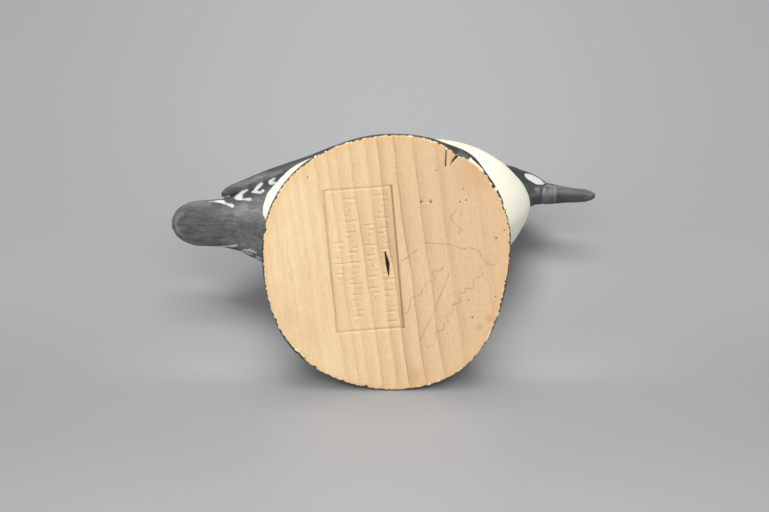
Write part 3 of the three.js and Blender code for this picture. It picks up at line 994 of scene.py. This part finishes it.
class Finish:
    """The nodes of one material, with short names for the few kinds it needs."""

    def __init__(self, name):
        self.material = bpy.data.materials.new(name)
        self.material.use_nodes = True
        self.tree = self.material.node_tree
        self.tree.nodes.clear()
        output = self.node("ShaderNodeOutputMaterial")
        self.shader = self.node("ShaderNodeBsdfPrincipled")
        self.tree.links.new(self.shader.outputs["BSDF"], output.inputs["Surface"])
        in_metres = self.result("ShaderNodeTexCoord", (), "Object")
        self.place = self.vector("MULTIPLY", in_metres, (1 / MM, 1 / MM, 1 / MM))
        self.x, self.y, self.z = self.parts("ShaderNodeSeparateXYZ", self.place)

    def node(self, kind, **settings):
        made = self.tree.nodes.new(kind)
        for name, value in settings.items():
            setattr(made, name, value)
        return made

    def feed(self, socket, value):
        """Links a tone to a socket, or sets the socket to a number, a vector or a colour."""
        if isinstance(value, Tone):
            self.tree.links.new(value.socket, socket)
        elif socket.type == "RGBA":
            socket.default_value = (*value, 1)
        else:
            socket.default_value = value

    def result(self, kind, values, output=0, **settings):
        """What a new node makes of the values that it is fed."""
        made = self.node(kind, **settings)
        for socket, value in zip(made.inputs, values):
            self.feed(socket, value)
        return Tone(self, made.outputs[output])

    def parts(self, kind, whole):
        """The three numbers that a vector or a colour is made of."""
        made = self.node(kind)
        self.feed(made.inputs[0], whole)
        return [Tone(self, socket) for socket in made.outputs]

    def math(self, operation, *values):
        return self.result("ShaderNodeMath", values, operation=operation)

    def vector(self, operation, *values, output=0):
        return self.result("ShaderNodeVectorMath", values, output, operation=operation)

    def field(self, name):
        return self.result("ShaderNodeAttribute", (), "Fac", attribute_name=name)

    def noise(self, scale, detail=3, roughness=0.5, place=None):
        """Noise about 0.5 whose grains are 1/scale millimetres, all ways or along each axis."""
        made = self.node("ShaderNodeTexNoise")
        scales = np.broadcast_to(scale, 3).tolist()
        self.feed(made.inputs["Vector"], self.vector("MULTIPLY", place or self.place, scales))
        for name, value in (("Scale", 1), ("Detail", detail), ("Roughness", roughness)):
            made.inputs[name].default_value = value
        return Tone(self, made.outputs["Fac"])

    def mix(self, share, one, other):
        made = self.node("ShaderNodeMix", data_type="RGBA")
        for index, value in ((0, share), (6, one), (7, other)):
            self.feed(made.inputs[index], value)
        return Tone(self, made.outputs[2])

    def shade(self, colour, amount):
        """A colour made lighter or darker by a factor."""
        made = self.node("ShaderNodeVectorMath", operation="SCALE")
        self.feed(made.inputs[0], colour)
        self.feed(made.inputs["Scale"], amount)
        return Tone(self, made.outputs[0])

    def largest(self, tones):
        most = tones[0]
        for tone in tones[1:]:
            most = self.math("MAXIMUM", most, tone)
        return most

    def ramp(self, value, stops):
        """Three numbers that change along a value, through stops of a place and the three."""
        made = self.node("ShaderNodeValToRGB")
        self.feed(made.inputs[0], value)
        elements = made.color_ramp.elements
        elements[0].position = stops[0][0]
        elements[1].position = stops[-1][0]
        for place, _ in stops[1:-1]:
            elements.new(place)
        for element, (_, numbers) in zip(elements, stops):
            element.color = (*numbers, 1)
        return self.parts("ShaderNodeSeparateColor", Tone(self, made.outputs[0]))

    def bump(self, height, distance, strength, under=None):
        """A relief of a height in millimetres, over another one where it is given."""
        made = self.node("ShaderNodeBump")
        made.inputs["Strength"].default_value = strength
        made.inputs["Distance"].default_value = distance * MM
        self.feed(made.inputs["Height"], height)
        if under:
            self.feed(made.inputs["Normal"], under)
        return Tone(self, made.outputs[0])

    def underside(self):
        """The place on the underside below or above each point."""
        return self.vector("MULTIPLY", self.place, (1, 1, 0))

    def spot(self, centre, radius):
        """1 at a place on the underside, falling to 0 at a radius."""
        return self.vector("DISTANCE", self.underside(), (*centre, 0), output="Value").step(0, radius, 1, 0)

    def slit(self, start, stop, wide_start, wide_stop):
        """1 inside a straight split of the underside and 0 outside it."""
        along = Vector(stop) - Vector(start)
        pull = along / along.length_squared
        from_start = self.vector("SUBTRACT", self.underside(), (*start, 0))
        share = self.vector("DOT_PRODUCT", from_start, (*pull, 0), output="Value")
        share = self.math("MINIMUM", self.math("MAXIMUM", share, 0), 1)
        away = self.vector("DISTANCE", from_start, self.shade((*along, 0), share), output="Value")
        half = share * ((wide_stop - wide_start) / 2) + wide_start / 2
        return (away - half).step(-SLIT_EDGE, SLIT_EDGE, 1, 0)

    def finished(self, inputs):
        """The material, once its shader has its colours, numbers and relief."""
        for name, value in inputs.items():
            self.feed(self.shader.inputs[name], value)
        return self.material


def growth_stops(first, last):
    """Across the grain: how dark the late wood is, how warm the wood after it, how pale before it."""
    stops = []
    for i in range(first, last):
        line, darkness = GROWTH_LINES[i], GROWTH_DARKNESS[i]
        gap = (GROWTH_LINES + (GRAIN_REACH,))[i + 1] - line
        fades_at = min(2.3, gap - 0.7)
        for shift, *tones in (
            (-0.5, 0.0, 0.0, 0.2), (-0.14, 0.0, 0.1, 1.0), (0.0, 1.0, 0.8, 0.0), (0.15, 0.36, 1.0, 0.0),
            (fades_at, 0.0, 0.0, 0.0),
        ):
            place = (line + shift + GRAIN_REACH) / (2 * GRAIN_REACH)
            stops.append((place, [tone * darkness for tone in tones]))
    return stops


# Bare chips of primer along the rim, and stains, as places on the underside with a radius
PRIMER_CHIPS = (
    ((18.5, -24.3), 0.8), ((19.3, -23.7), 0.9), ((20.1, -23.0), 0.9), ((20.9, -22.2), 0.8),
    ((-16.0, -25.3), 0.7), ((-20.5, 20.2), 0.4), ((-18.2, 22.0), 0.6), ((-16.0, 23.7), 0.5),
    ((-13.0, 25.6), 0.6), ((-2.0, -30.4), 0.6), ((2.3, -30.5), 0.5), ((24.0, -17.6), 0.6),
    ((24.9, 11.9), 0.6), ((22.7, 17.2), 0.6), ((9.5, 28.6), 0.5),
)
# Where the rock's paint laps furthest over the rim: a place, a radius and how far
PAINT_LAPS = (
    ((-20, 19), 8, 0.4), ((-28, 0), 11, 0.16), ((27, 6), 12, 0.18), ((24, -17), 7, 0.2), ((8, 29), 9, 0.1),
)
STAINS = (
    ((22.9, 12.8), 1.7, 0.45), ((20.7, 14.8), 1.3, 0.4), ((18.5, -21), 6.5, 0.22), ((-17, 16), 5, 0.1),
    ((6.5, 26.5), 3.5, 0.3), ((16.4, -11.9), 0.6, 0.35), ((-22, 12), 4, 0.12),
)
# Small dark specks in the bare wood, as the photograph sees them, with their radius in millimetres
WOOD_SPECKS = (
    ((436, 170.3), 0.3), ((463.2, 188.6), 0.3), ((466, 200), 0.34), ((460, 201.8), 0.3),
    ((504.3, 230), 0.3), ((496.3, 238), 0.42), ((307.5, 177.2), 0.28), ((468.5, 300.4), 0.3),
    ((472.4, 317.3), 0.42), ((453.9, 304.3), 0.28), ((495.6, 296.5), 0.3),
)
# Colours of the small things in the wood, of the painted shadow inside the splits and nail holes, and of
# the bird's pupil
PORE = (0.45, 0.26, 0.13)
SOILED_RIM = (0.78, 0.44, 0.16)
FLECK = (0.30, 0.16, 0.07)
SPECK = (0.12, 0.06, 0.03)
STAIN = (0.50, 0.22, 0.08)
SPLIT_SHADOW = (0.022, 0.012, 0.007)
PUPIL = (0.008, 0.008, 0.008)


def bare_wood(made, look):
    """The underside: growth lines, fibres, specks, pencil, painted shade in the stamp's lines and painted
    shadow in the open splits.
    """
    wander = made.noise((0.09, 0.05, 0.05), 2)
    across = made.y * -GRAIN_LEAN + made.x + (wander - 0.5) * 1.6
    share = (across + GRAIN_REACH) * (0.5 / GRAIN_REACH)
    middle = len(GROWTH_LINES) // 2
    left = made.ramp(share, growth_stops(0, middle))
    right = made.ramp(share, growth_stops(middle, len(GROWTH_LINES)))
    late, warm, pale = (one + other for one, other in zip(left, right))
    grain = made.result("ShaderNodeCombineXYZ", (across, made.y, made.z))
    bands = made.noise((0.75, 0.012, 0.012), 2, 0.55, grain).step(0.35, 0.65)
    fibres = made.noise((5.5, 0.22, 0.4), 4, 0.65, grain)
    hairs = made.noise((11, 0.5, 0.8), 2, 0.6, grain)
    rays = made.noise((0.35, 2.6, 1), 3, 0.6, grain)
    pores = made.noise((4.5, 1.3, 1), 2, 0.7, grain).step(0.56, 0.68, 0, 0.42)
    drift = made.noise((0.07, 0.05, 0.1))
    worn = made.noise((0.05, 0.06, 0.1)).step(0.3, 0.7, 0.5, 1)
    specks = made.noise((2.1, 1.3, 2), 2, 0.7).step(0.73, 0.79)

    # Each layer of colour goes over the last one by a share from 0 to 1
    wood = made.mix(across.step(-22, 22), look.wood_light, look.wood_warm)
    wood = wood.coated(look.wood_warm, drift.step(0.35, 0.7, 0, 0.35))
    wood = wood.coated(look.wood_band, bands * across.step(-16, -6, 0.26, 0.1))
    wood = wood.coated(look.wood_band, warm * 0.38)
    wood = wood.shaded(pale * 0.03 + 1)
    wood = wood.coated(look.growth_line, late * worn * 0.85)
    wood = wood.shaded(fibres.step(0.25, 0.75, 0.915, 1.045))
    wood = wood.shaded(hairs.step(0.3, 0.55, 0.915, 1.015))
    wood = wood.shaded(rays.step(0.3, 0.7, 0.975, 1.025))
    wood = wood.coated(PORE, pores * across.step(-12, 8, 0.3, 1))
    wood = wood.coated(SOILED_RIM, made.field("edge").step(-2.6, -0.2, 0, 0.32))
    wood = wood.coated(FLECK, specks * 0.4)
    for place, radius in WOOD_SPECKS:
        wood = wood.coated(SPECK, made.spot(underside_place(*place), radius) * 1.1)
    for centre, radius, depth in STAINS:
        wood = wood.coated(STAIN, made.spot(centre, radius) * depth)
    line = abs(made.field("pencil_side")).step(0.05, 0.27, 1, 0)
    line = line * made.field("pencil").step(0.32, 0.45, 1, 0)
    line = line * made.noise((0.3, 0.3, 1)).step(0.35, 0.6, 0.2, 0.55)
    wood = wood.coated(look.pencil, line)
    # Painted shade in the stamp's pressed lines
    wood = wood.coated(look.stamp_shade, made.field("dirt") * 0.85)
    # Painted shadow: near black inside the splits and the nail holes
    slits = [made.slit(*split) for *split, _ in SPLITS]
    slits += [made.slit(hole, (hole[0], hole[1] + 0.05), NAIL_WIDTH, NAIL_WIDTH) for hole in NAIL_HOLES]
    return wood.coated(SPLIT_SHADOW, made.largest(slits)), fibres


def rock_finish(look):
    """Bare wood below, and dark crusted paint over pale primer up the side."""
    made = Finish("bare_wood_and_rock_paint")
    wood, fibres = bare_wood(made, look)
    edge = made.field("edge")
    from_edge = (made.noise(1.3, 4, 0.7) - 0.46) * 1.6 + edge
    for centre, radius, reach in PAINT_LAPS:
        from_edge = made.spot(centre, radius) * reach + from_edge
    chips = made.largest([made.spot(centre, radius) for centre, radius in PRIMER_CHIPS])
    chips = chips * edge.step(0.8, 0.3)
    bare_edge = made.noise(0.9, 3, 0.65).step(0.47, 0.62, 0, 0.3)
    primer_line = from_edge + bare_edge + chips * 0.6
    wood = wood.coated(look.primer, primer_line.step(0.05, 0.16))

    dust = made.noise(3.5, 4, 0.7)
    flecks = made.noise(1.7, 3, 0.7).step(0.735, 0.765)
    rock = made.mix(made.noise(0.5, 4, 0.6).step(0.3, 0.7), look.rock_dark, look.rock_light)
    rock = rock.shaded(dust.step(0.2, 0.8, 0.72, 1.3)).coated(look.primer, flecks * 0.8)
    lost = chips * dust.step(0.38, 0.46) * 1.2
    painted = (from_edge - lost).step(0.02, 0.1)
    return made.finished({
        "Base Color": wood.coated(rock, painted),
        "Roughness": painted.step(0, 1, 0.62, 0.5) + dust.step(0.2, 0.8, -0.06, 0.08),
        "IOR": 1.46,
        "Normal": made.bump(dust * painted, 0.12, 0.8, made.bump(fibres, 0.05, 0.5)),
    })


def bird_finish(look):
    """Brushed oil paint: ivory and dark, then the head, the bill, the white marks and the eyes."""
    made = Finish("drake_oil_paint")
    brushed = made.noise((0.16, 1.9, 1.9), 4, 0.65)
    fine = made.noise((0.5, 6, 6), 3, 0.6)
    patchy = made.noise((0.12, 0.14, 0.14)).step(0.3, 0.7)
    mottle = made.noise((0.4, 0.9, 0.9), 4, 0.7).step(0.32, 0.68, 0.72, 1.3)
    rubbed = made.noise((0.3, 0.55, 0.55), 5, 0.72).step(0.5, 0.66, 0, 0.42)
    flecks = made.noise(1.5, 2, 0.6).step(0.76, 0.79)
    bristles = (made.noise((1, 3.2, 3.2), 3, 0.6) - 0.5) * 0.5
    shift = (made.noise(0.9, 3, 0.6) - 0.5) * 0.35

    def inside(name, soft=0.07):
        return (made.field(name) + shift).step(-soft, soft)

    ivory = made.mix(patchy, look.ivory, look.aged_ivory).shaded(brushed.step(0.2, 0.8, 0.975, 1.01))
    streaks = brushed.step(0.25, 0.75, 0.72, 1.32) * fine.step(0.2, 0.8, 0.85, 1.15) * mottle
    dark = made.shade((0.99, 1, 1.01), made.field("dark_tone") * streaks)
    dark = dark.coated(look.rubbed, rubbed).coated(look.ivory, flecks * 0.35)
    head = made.shade(look.head, brushed.step(0.2, 0.8, 0.8, 1.25))
    bill = made.shade((1, 1, 0.99), made.field("bill_tone") * fine.step(0.2, 0.8, 0.85, 1.2))
    marks = (made.field("white") + bristles).step(-0.16, 0.16) * fine.step(0.25, 0.6, 0.72, 1)
    iris = EYE_RADIUS - PUPIL_RADIUS
    colour = ivory.coated(dark, inside("dark")).coated(head, inside("head")).coated(bill, inside("bill"))
    colour = colour.coated(look.mark_white, marks).coated(look.eye, inside("eye", 0.04))
    return made.finished({
        "Base Color": colour.coated(PUPIL, made.field("eye").step(iris - 0.05, iris + 0.05)),
        "Roughness": brushed.step(0.2, 0.8, 0.36, 0.52),
        "IOR": 1.48,
        "Normal": made.bump(fine, 0.02, 0.4, made.bump(brushed, 0.06, 0.5)),
    })


def floor_finish(look):
    """Grey paper that glows more and more away from the soft lights, as painted light in place of the
    room's light, up to the wall's tone.
    """
    made = Finish("studio_floor")
    paper = made.noise(0.9, 4, 0.6).step(0.2, 0.8, 0.985, 1.015)
    # Painted light: further off, the floor glows in the wall's tone
    far = made.vector("LENGTH", made.place, output="Value").step(60, 600)
    return made.finished({
        "Base Color": made.shade(look.floor, paper * (1 - far)),
        "Emission Color": made.shade(look.horizon, far),
        "Emission Strength": 1,
        "Roughness": 0.6,
    })


def table_finish(look):
    """Smooth grey card with painted light and shade: paler behind the rock's rim, lifting the rock's shadow
    there, and far off; darker near and below the rock as a painted shadow, and darker to both sides as
    painted shade.
    """
    made = Finish("studio_table")
    aside, height = abs(made.x), made.z
    # Painted light and shade along the card: darker towards the rock's foot, paler nearer the camera and
    # far off
    tone = height.step(45, 0, 1, 0.85) + height.step(-10, -40, 0, 0.07) + height.step(55, 190, 0, 0.06)
    # Painted light beside the rock's rim over its shadow, and a painted shadow just below the rim
    painted_light_by_rim = aside.step(5, 80, 0.17, 0) * height.step(4, 28, 1, 0) * height.step(9, 0, 1, -0.5)
    return made.finished({
        # Painted shade towards both sides
        "Base Color": made.shade(look.floor, (tone + painted_light_by_rim) * aside.step(0, 110, 1, 0.85)),
        "Roughness": 0.4,
        "IOR": 1.6,
    })


def colour_choice(name, description, default):
    return bpy.props.FloatVectorProperty(
        name=name, description=description, default=default, size=3, min=0, max=1, subtype="COLOR",
    )


def light_power(name, description, default):
    return bpy.props.FloatProperty(
        name=name, description=description, default=default, min=0, unit="POWER",
    )


class RockLook(bpy.types.PropertyGroup):
    wood_light: colour_choice("Pale wood", "Wood at the underside's left", (0.88, 0.67, 0.39))
    wood_warm: colour_choice("Warm wood", "Wood at the underside's right", (0.74, 0.51, 0.30))
    wood_band: colour_choice("Wood bands", "Warmer wood beside each growth line", (0.66, 0.42, 0.21))
    growth_line: colour_choice("Growth lines", "Dark late wood", (0.36, 0.19, 0.08))
    # Colour of the painted shade in the stamp's pressed lines
    stamp_shade: colour_choice("Stamp shade", "Painted shade in the pressed lines", (0.17, 0.09, 0.04))
    rock_dark: colour_choice("Rock shadow", "Dark coat of the rock", (0.028, 0.027, 0.025))
    rock_light: colour_choice("Rock dust", "Dry grey coat over the dark one", (0.066, 0.063, 0.056))
    primer: colour_choice("Primer", "Pale ground that shows where the paint is chipped", (0.80, 0.74, 0.58))
    pencil: colour_choice("Pencil", "Old pencil marks on the bare wood", (0.30, 0.24, 0.27))


class BirdLook(bpy.types.PropertyGroup):
    ivory: colour_choice("Ivory", "Breast and flanks", (0.84, 0.83, 0.70))
    aged_ivory: colour_choice("Aged ivory", "Yellowed patches of the white paint", (0.83, 0.805, 0.65))
    mark_white: colour_choice("Mark white", "Cheek patch and brush marks", (0.60, 0.61, 0.58))
    head: colour_choice("Head", "Dark paint of the head", (0.040, 0.043, 0.044))
    rubbed: colour_choice("Rubbed paint", "Thin worn places in the dark paint", (0.150, 0.150, 0.130))
    eye: colour_choice("Eye", "Painted iris", (0.62, 0.48, 0.14))
    wing_relief: bpy.props.FloatProperty(
        name="Wing relief", description="How far the folded wings stand proud", default=0.9 * MM,
        min=0, max=2 * MM, precision=4, unit="LENGTH",
    )
    skin_step: bpy.props.FloatProperty(
        name="Skin step", description="Size of the fine mesh's cells", default=0.38 * MM,
        min=0.3 * MM, max=2 * MM, precision=5, unit="LENGTH",
    )


class StudioLook(bpy.types.PropertyGroup):
    floor: colour_choice("Floor", "Paper under the object", (0.325, 0.328, 0.334))
    world: colour_choice("Surroundings", "Even light from all round", (0.05, 0.05, 0.052))
    horizon: colour_choice("Horizon", "Tone of the wall beyond the floor", (0.42, 0.425, 0.435))
    key_power: light_power("Key light", "Power of the soft light high over the camera", 9.0)
    front_power: light_power("Front light", "Power of the soft light just over the camera", 5.3)
    left_power: light_power("Left light", "Power of the soft light on the left", 3.5)
    right_power: light_power("Right light", "Power of the soft light on the right", 3.3)


def dressed(name, mesh, material, node):
    """A finished piece: its mesh in metres, its material and its place in the frame."""
    set_points(mesh, three_each(mesh.vertices, "co") * MM)
    mesh.materials.clear()
    mesh.materials.append(material)
    mesh.shade_smooth()
    piece = new_object(name, mesh)
    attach(piece, "root")
    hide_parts(node)


class DRAKE_OT_make_rock(bpy.types.Operator):
    """Make the rock: a turned-over slice of pine, knife-cut and painted, bare and stamped below"""

    bl_idname = "drake.make_rock"
    bl_label = "Make rock"

    def execute(self, context):
        points, faces, fields = rock_shape()
        mesh = new_mesh("rock_base_carved", points, faces)
        set_fields(mesh, fields)
        dressed("rock_base_carved", mesh, rock_finish(context.scene.drake_rock), "rock_base")
        return {"FINISHED"}


class DRAKE_OT_make_bird(bpy.types.Operator):
    """Make the drake: body, folded wings, head and bill in one skin, carved finer and painted"""

    bl_idname = "drake.make_bird"
    bl_label = "Make drake"

    def execute(self, context):
        look = context.scene.drake_bird
        lofts = [body_loft(look.wing_relief / MM), leaf_loft(1), leaf_loft(-1), head_loft(), bill_loft()]
        mesh = skin_over("goldeneye_drake_carved", lofts, look.skin_step / MM)
        points = relaxed(mesh, three_each(mesh.vertices, "co"), SKIN_ROUNDS)
        points = sanded(mesh, points, CREASE_ROUNDS, wing_crease(points))
        points = sanded(mesh, points, RIDGE_ROUNDS, breast_ridge(points))
        set_points(mesh, points)
        normals = three_each(mesh.vertex_normals, "vector")
        fields = bird_fields(points, normals)
        points = carve_bird(points, normals)
        points[:, 2] = np.maximum(points[:, 2], SEAT_Z)
        points[:, 1] += BIRD_SHIFT_Y
        set_points(mesh, points)
        set_fields(mesh, fields)
        dressed("goldeneye_drake_carved", mesh, bird_finish(look), "goldeneye_drake")
        return {"FINISHED"}


# The photograph's table: the plane that the fallen carving lies on, in the part's own frame
TABLE_TILT = math.radians(16.9)
TABLE_REACH = 29.0
FLOOR_SIZE = 7.0
SENSOR_WIDTH = 36.0
LAMP_DISTANCE = 0.95
LAMP_SIZE = 0.55

# Where the camera stands as the floor comes in and the table goes, and how far off a sheet is kept
STAGE_AWAY = 60.0
FLOOR_COMES_Z = (0.0, 0.008)
TABLE_GOES_Z = (-0.46, -0.44)
TABLE_GOES_Y = (-0.14, -0.12)

# The soft lights as seen from the carving: how far round from the camera and how far up, in degrees
LAMPS = (
    ("key_light", 0, 65, "key_power"), ("front_light", 0, 20, "front_power"),
    ("left_light", -50, 8, "left_power"), ("right_light", 50, 8, "right_power"),
)


def plane_object(name, centre, normal, size, material):
    """A square sheet of the stage, facing along a normal."""
    right = Vector((1, 0, 0)) * size / 2
    up = Vector(normal).normalized().cross(right)
    corners = [Vector(centre) + right * a + up * b for a, b in ((-1, -1), (1, -1), (1, 1), (-1, 1))]
    mesh = new_mesh(name, corners, [(0, 1, 2, 3)])
    mesh.materials.append(material)
    made = new_object(name, mesh)
    return made


def put_away(sheet, camera, axis, place, away_at_start, away_at_stop):
    """Moves a sheet of the stage far off along an axis when the camera stands on its wrong side."""
    move = sheet.constraints.new("TRANSFORM")
    move.target = camera
    move.map_from = "LOCATION"
    move.map_to = "LOCATION"
    setattr(move, "from_min_" + axis, place[0])
    setattr(move, "from_max_" + axis, place[1])
    setattr(move, "map_to_" + axis + "_from", axis.upper())
    setattr(move, "to_min_" + axis, away_at_start)
    setattr(move, "to_max_" + axis, away_at_stop)


def soft_light(name, camera, turn, lift, power):
    """A soft box that faces the carving and goes where the camera goes."""
    aim = Vector((0, 0, -CAMERA_DISTANCE * MM))
    out = Vector((math.sin(turn) * math.cos(lift), math.sin(lift), math.cos(turn) * math.cos(lift)))
    light = bpy.data.lights.new(name, "AREA")
    light.size = LAMP_SIZE
    light.energy = power
    made = new_object(name, light)
    made.parent = camera
    made.location = aim + LAMP_DISTANCE * out
    made.rotation_euler = (-out).to_track_quat("-Z", "Y").to_euler()


def surroundings(look):
    """A dim even light from all round, and a paler tone where the camera looks past the floor."""
    world = bpy.data.worlds.new("surroundings")
    world.use_nodes = True
    tree = world.node_tree
    background = tree.nodes["Background"]
    rays = tree.nodes.new("ShaderNodeLightPath")
    tone = tree.nodes.new("ShaderNodeMix")
    tone.data_type = "RGBA"
    tone.inputs[6].default_value = (*look.world, 1)
    tone.inputs[7].default_value = (*look.horizon, 1)
    tree.links.new(rays.outputs["Is Camera Ray"], tone.inputs[0])
    tree.links.new(tone.outputs[2], background.inputs["Color"])
    return world


class DRAKE_OT_make_studio(bpy.types.Operator):
    """Make the studio: the photograph's camera, its soft lights, a floor and a table to lie on"""

    bl_idname = "drake.make_studio"
    bl_label = "Make studio"

    def execute(self, context):
        look = context.scene.drake_studio
        scene = context.scene
        right = Vector((1, 0, 0))
        up = Vector((0, -math.cos(CAMERA_TILT), math.sin(CAMERA_TILT)))
        forward = Vector((0, math.sin(CAMERA_TILT), math.cos(CAMERA_TILT)))
        pixel = CAMERA_DISTANCE / FOCAL_PIXELS
        shift_right = (PHOTO_SIZE[0] / 2 - PHOTO_AIM[0]) * pixel
        shift_up = (PHOTO_AIM[1] - PHOTO_SIZE[1] / 2) * pixel
        lens = bpy.data.cameras.new("camera")
        lens.sensor_width = SENSOR_WIDTH
        lens.lens = FOCAL_PIXELS / PHOTO_SIZE[0] * SENSOR_WIDTH
        lens.clip_start = 0.01
        lens.clip_end = 20
        camera = new_object("camera", lens)
        camera.location = (right * shift_right + up * shift_up - forward * CAMERA_DISTANCE) * MM
        camera.rotation_euler = Matrix((right, up, -forward)).transposed().to_euler()
        scene.camera = camera

        for name, turn, lift, power in LAMPS:
            soft_light(name, camera, math.radians(turn), math.radians(lift), getattr(look, power))

        floor = plane_object("floor", (0, 0, 0), (0, 0, 1), FLOOR_SIZE, floor_finish(look))
        toward = Vector((0, -math.cos(TABLE_TILT), -math.sin(TABLE_TILT)))
        table = plane_object("table", -toward * TABLE_REACH * MM, toward, FLOOR_SIZE, table_finish(look))
        put_away(floor, camera, "z", FLOOR_COMES_Z, -STAGE_AWAY, 0)
        put_away(table, camera, "z", TABLE_GOES_Z, 0, STAGE_AWAY)
        put_away(table, camera, "y", TABLE_GOES_Y, 0, STAGE_AWAY)

        scene.world = surroundings(look)
        scene.view_settings.view_transform = "Standard"
        return {"FINISHED"}


class DRAKE_PT_panel(bpy.types.Panel):
    """The steps and the choices of the studio, the rock and the drake"""

    bl_idname = "DRAKE_PT_panel"
    bl_label = "Miniature drake"
    bl_space_type = "VIEW_3D"
    bl_region_type = "UI"
    bl_category = "Drake"

    def draw(self, context):
        for operator, name in STEPS:
            box = self.layout.box()
            box.operator(operator.bl_idname)
            look = getattr(context.scene, name)
            for choice in look.bl_rna.properties.keys():
                if choice not in ("rna_type", "name"):
                    box.prop(look, choice)


STEPS = (
    (DRAKE_OT_make_studio, "drake_studio"),
    (DRAKE_OT_make_rock, "drake_rock"),
    (DRAKE_OT_make_bird, "drake_bird"),
)
LOOKS = (("drake_studio", StudioLook), ("drake_rock", RockLook), ("drake_bird", BirdLook))


def register():
    for name, look in LOOKS:
        bpy.utils.register_class(look)
        setattr(bpy.types.Scene, name, bpy.props.PointerProperty(type=look))
    for operator, name in STEPS:
        bpy.utils.register_class(operator)
    bpy.utils.register_class(DRAKE_PT_panel)


def unregister():
    bpy.utils.unregister_class(DRAKE_PT_panel)
    for operator, name in reversed(STEPS):
        bpy.utils.unregister_class(operator)
    for name, look in reversed(LOOKS):
        delattr(bpy.types.Scene, name)
        bpy.utils.unregister_class(look)


def main():
    register()
    bpy.ops.drake.make_studio()
    bpy.ops.drake.make_rock()
    bpy.ops.drake.make_bird()


if __name__ == "__main__":
    main()
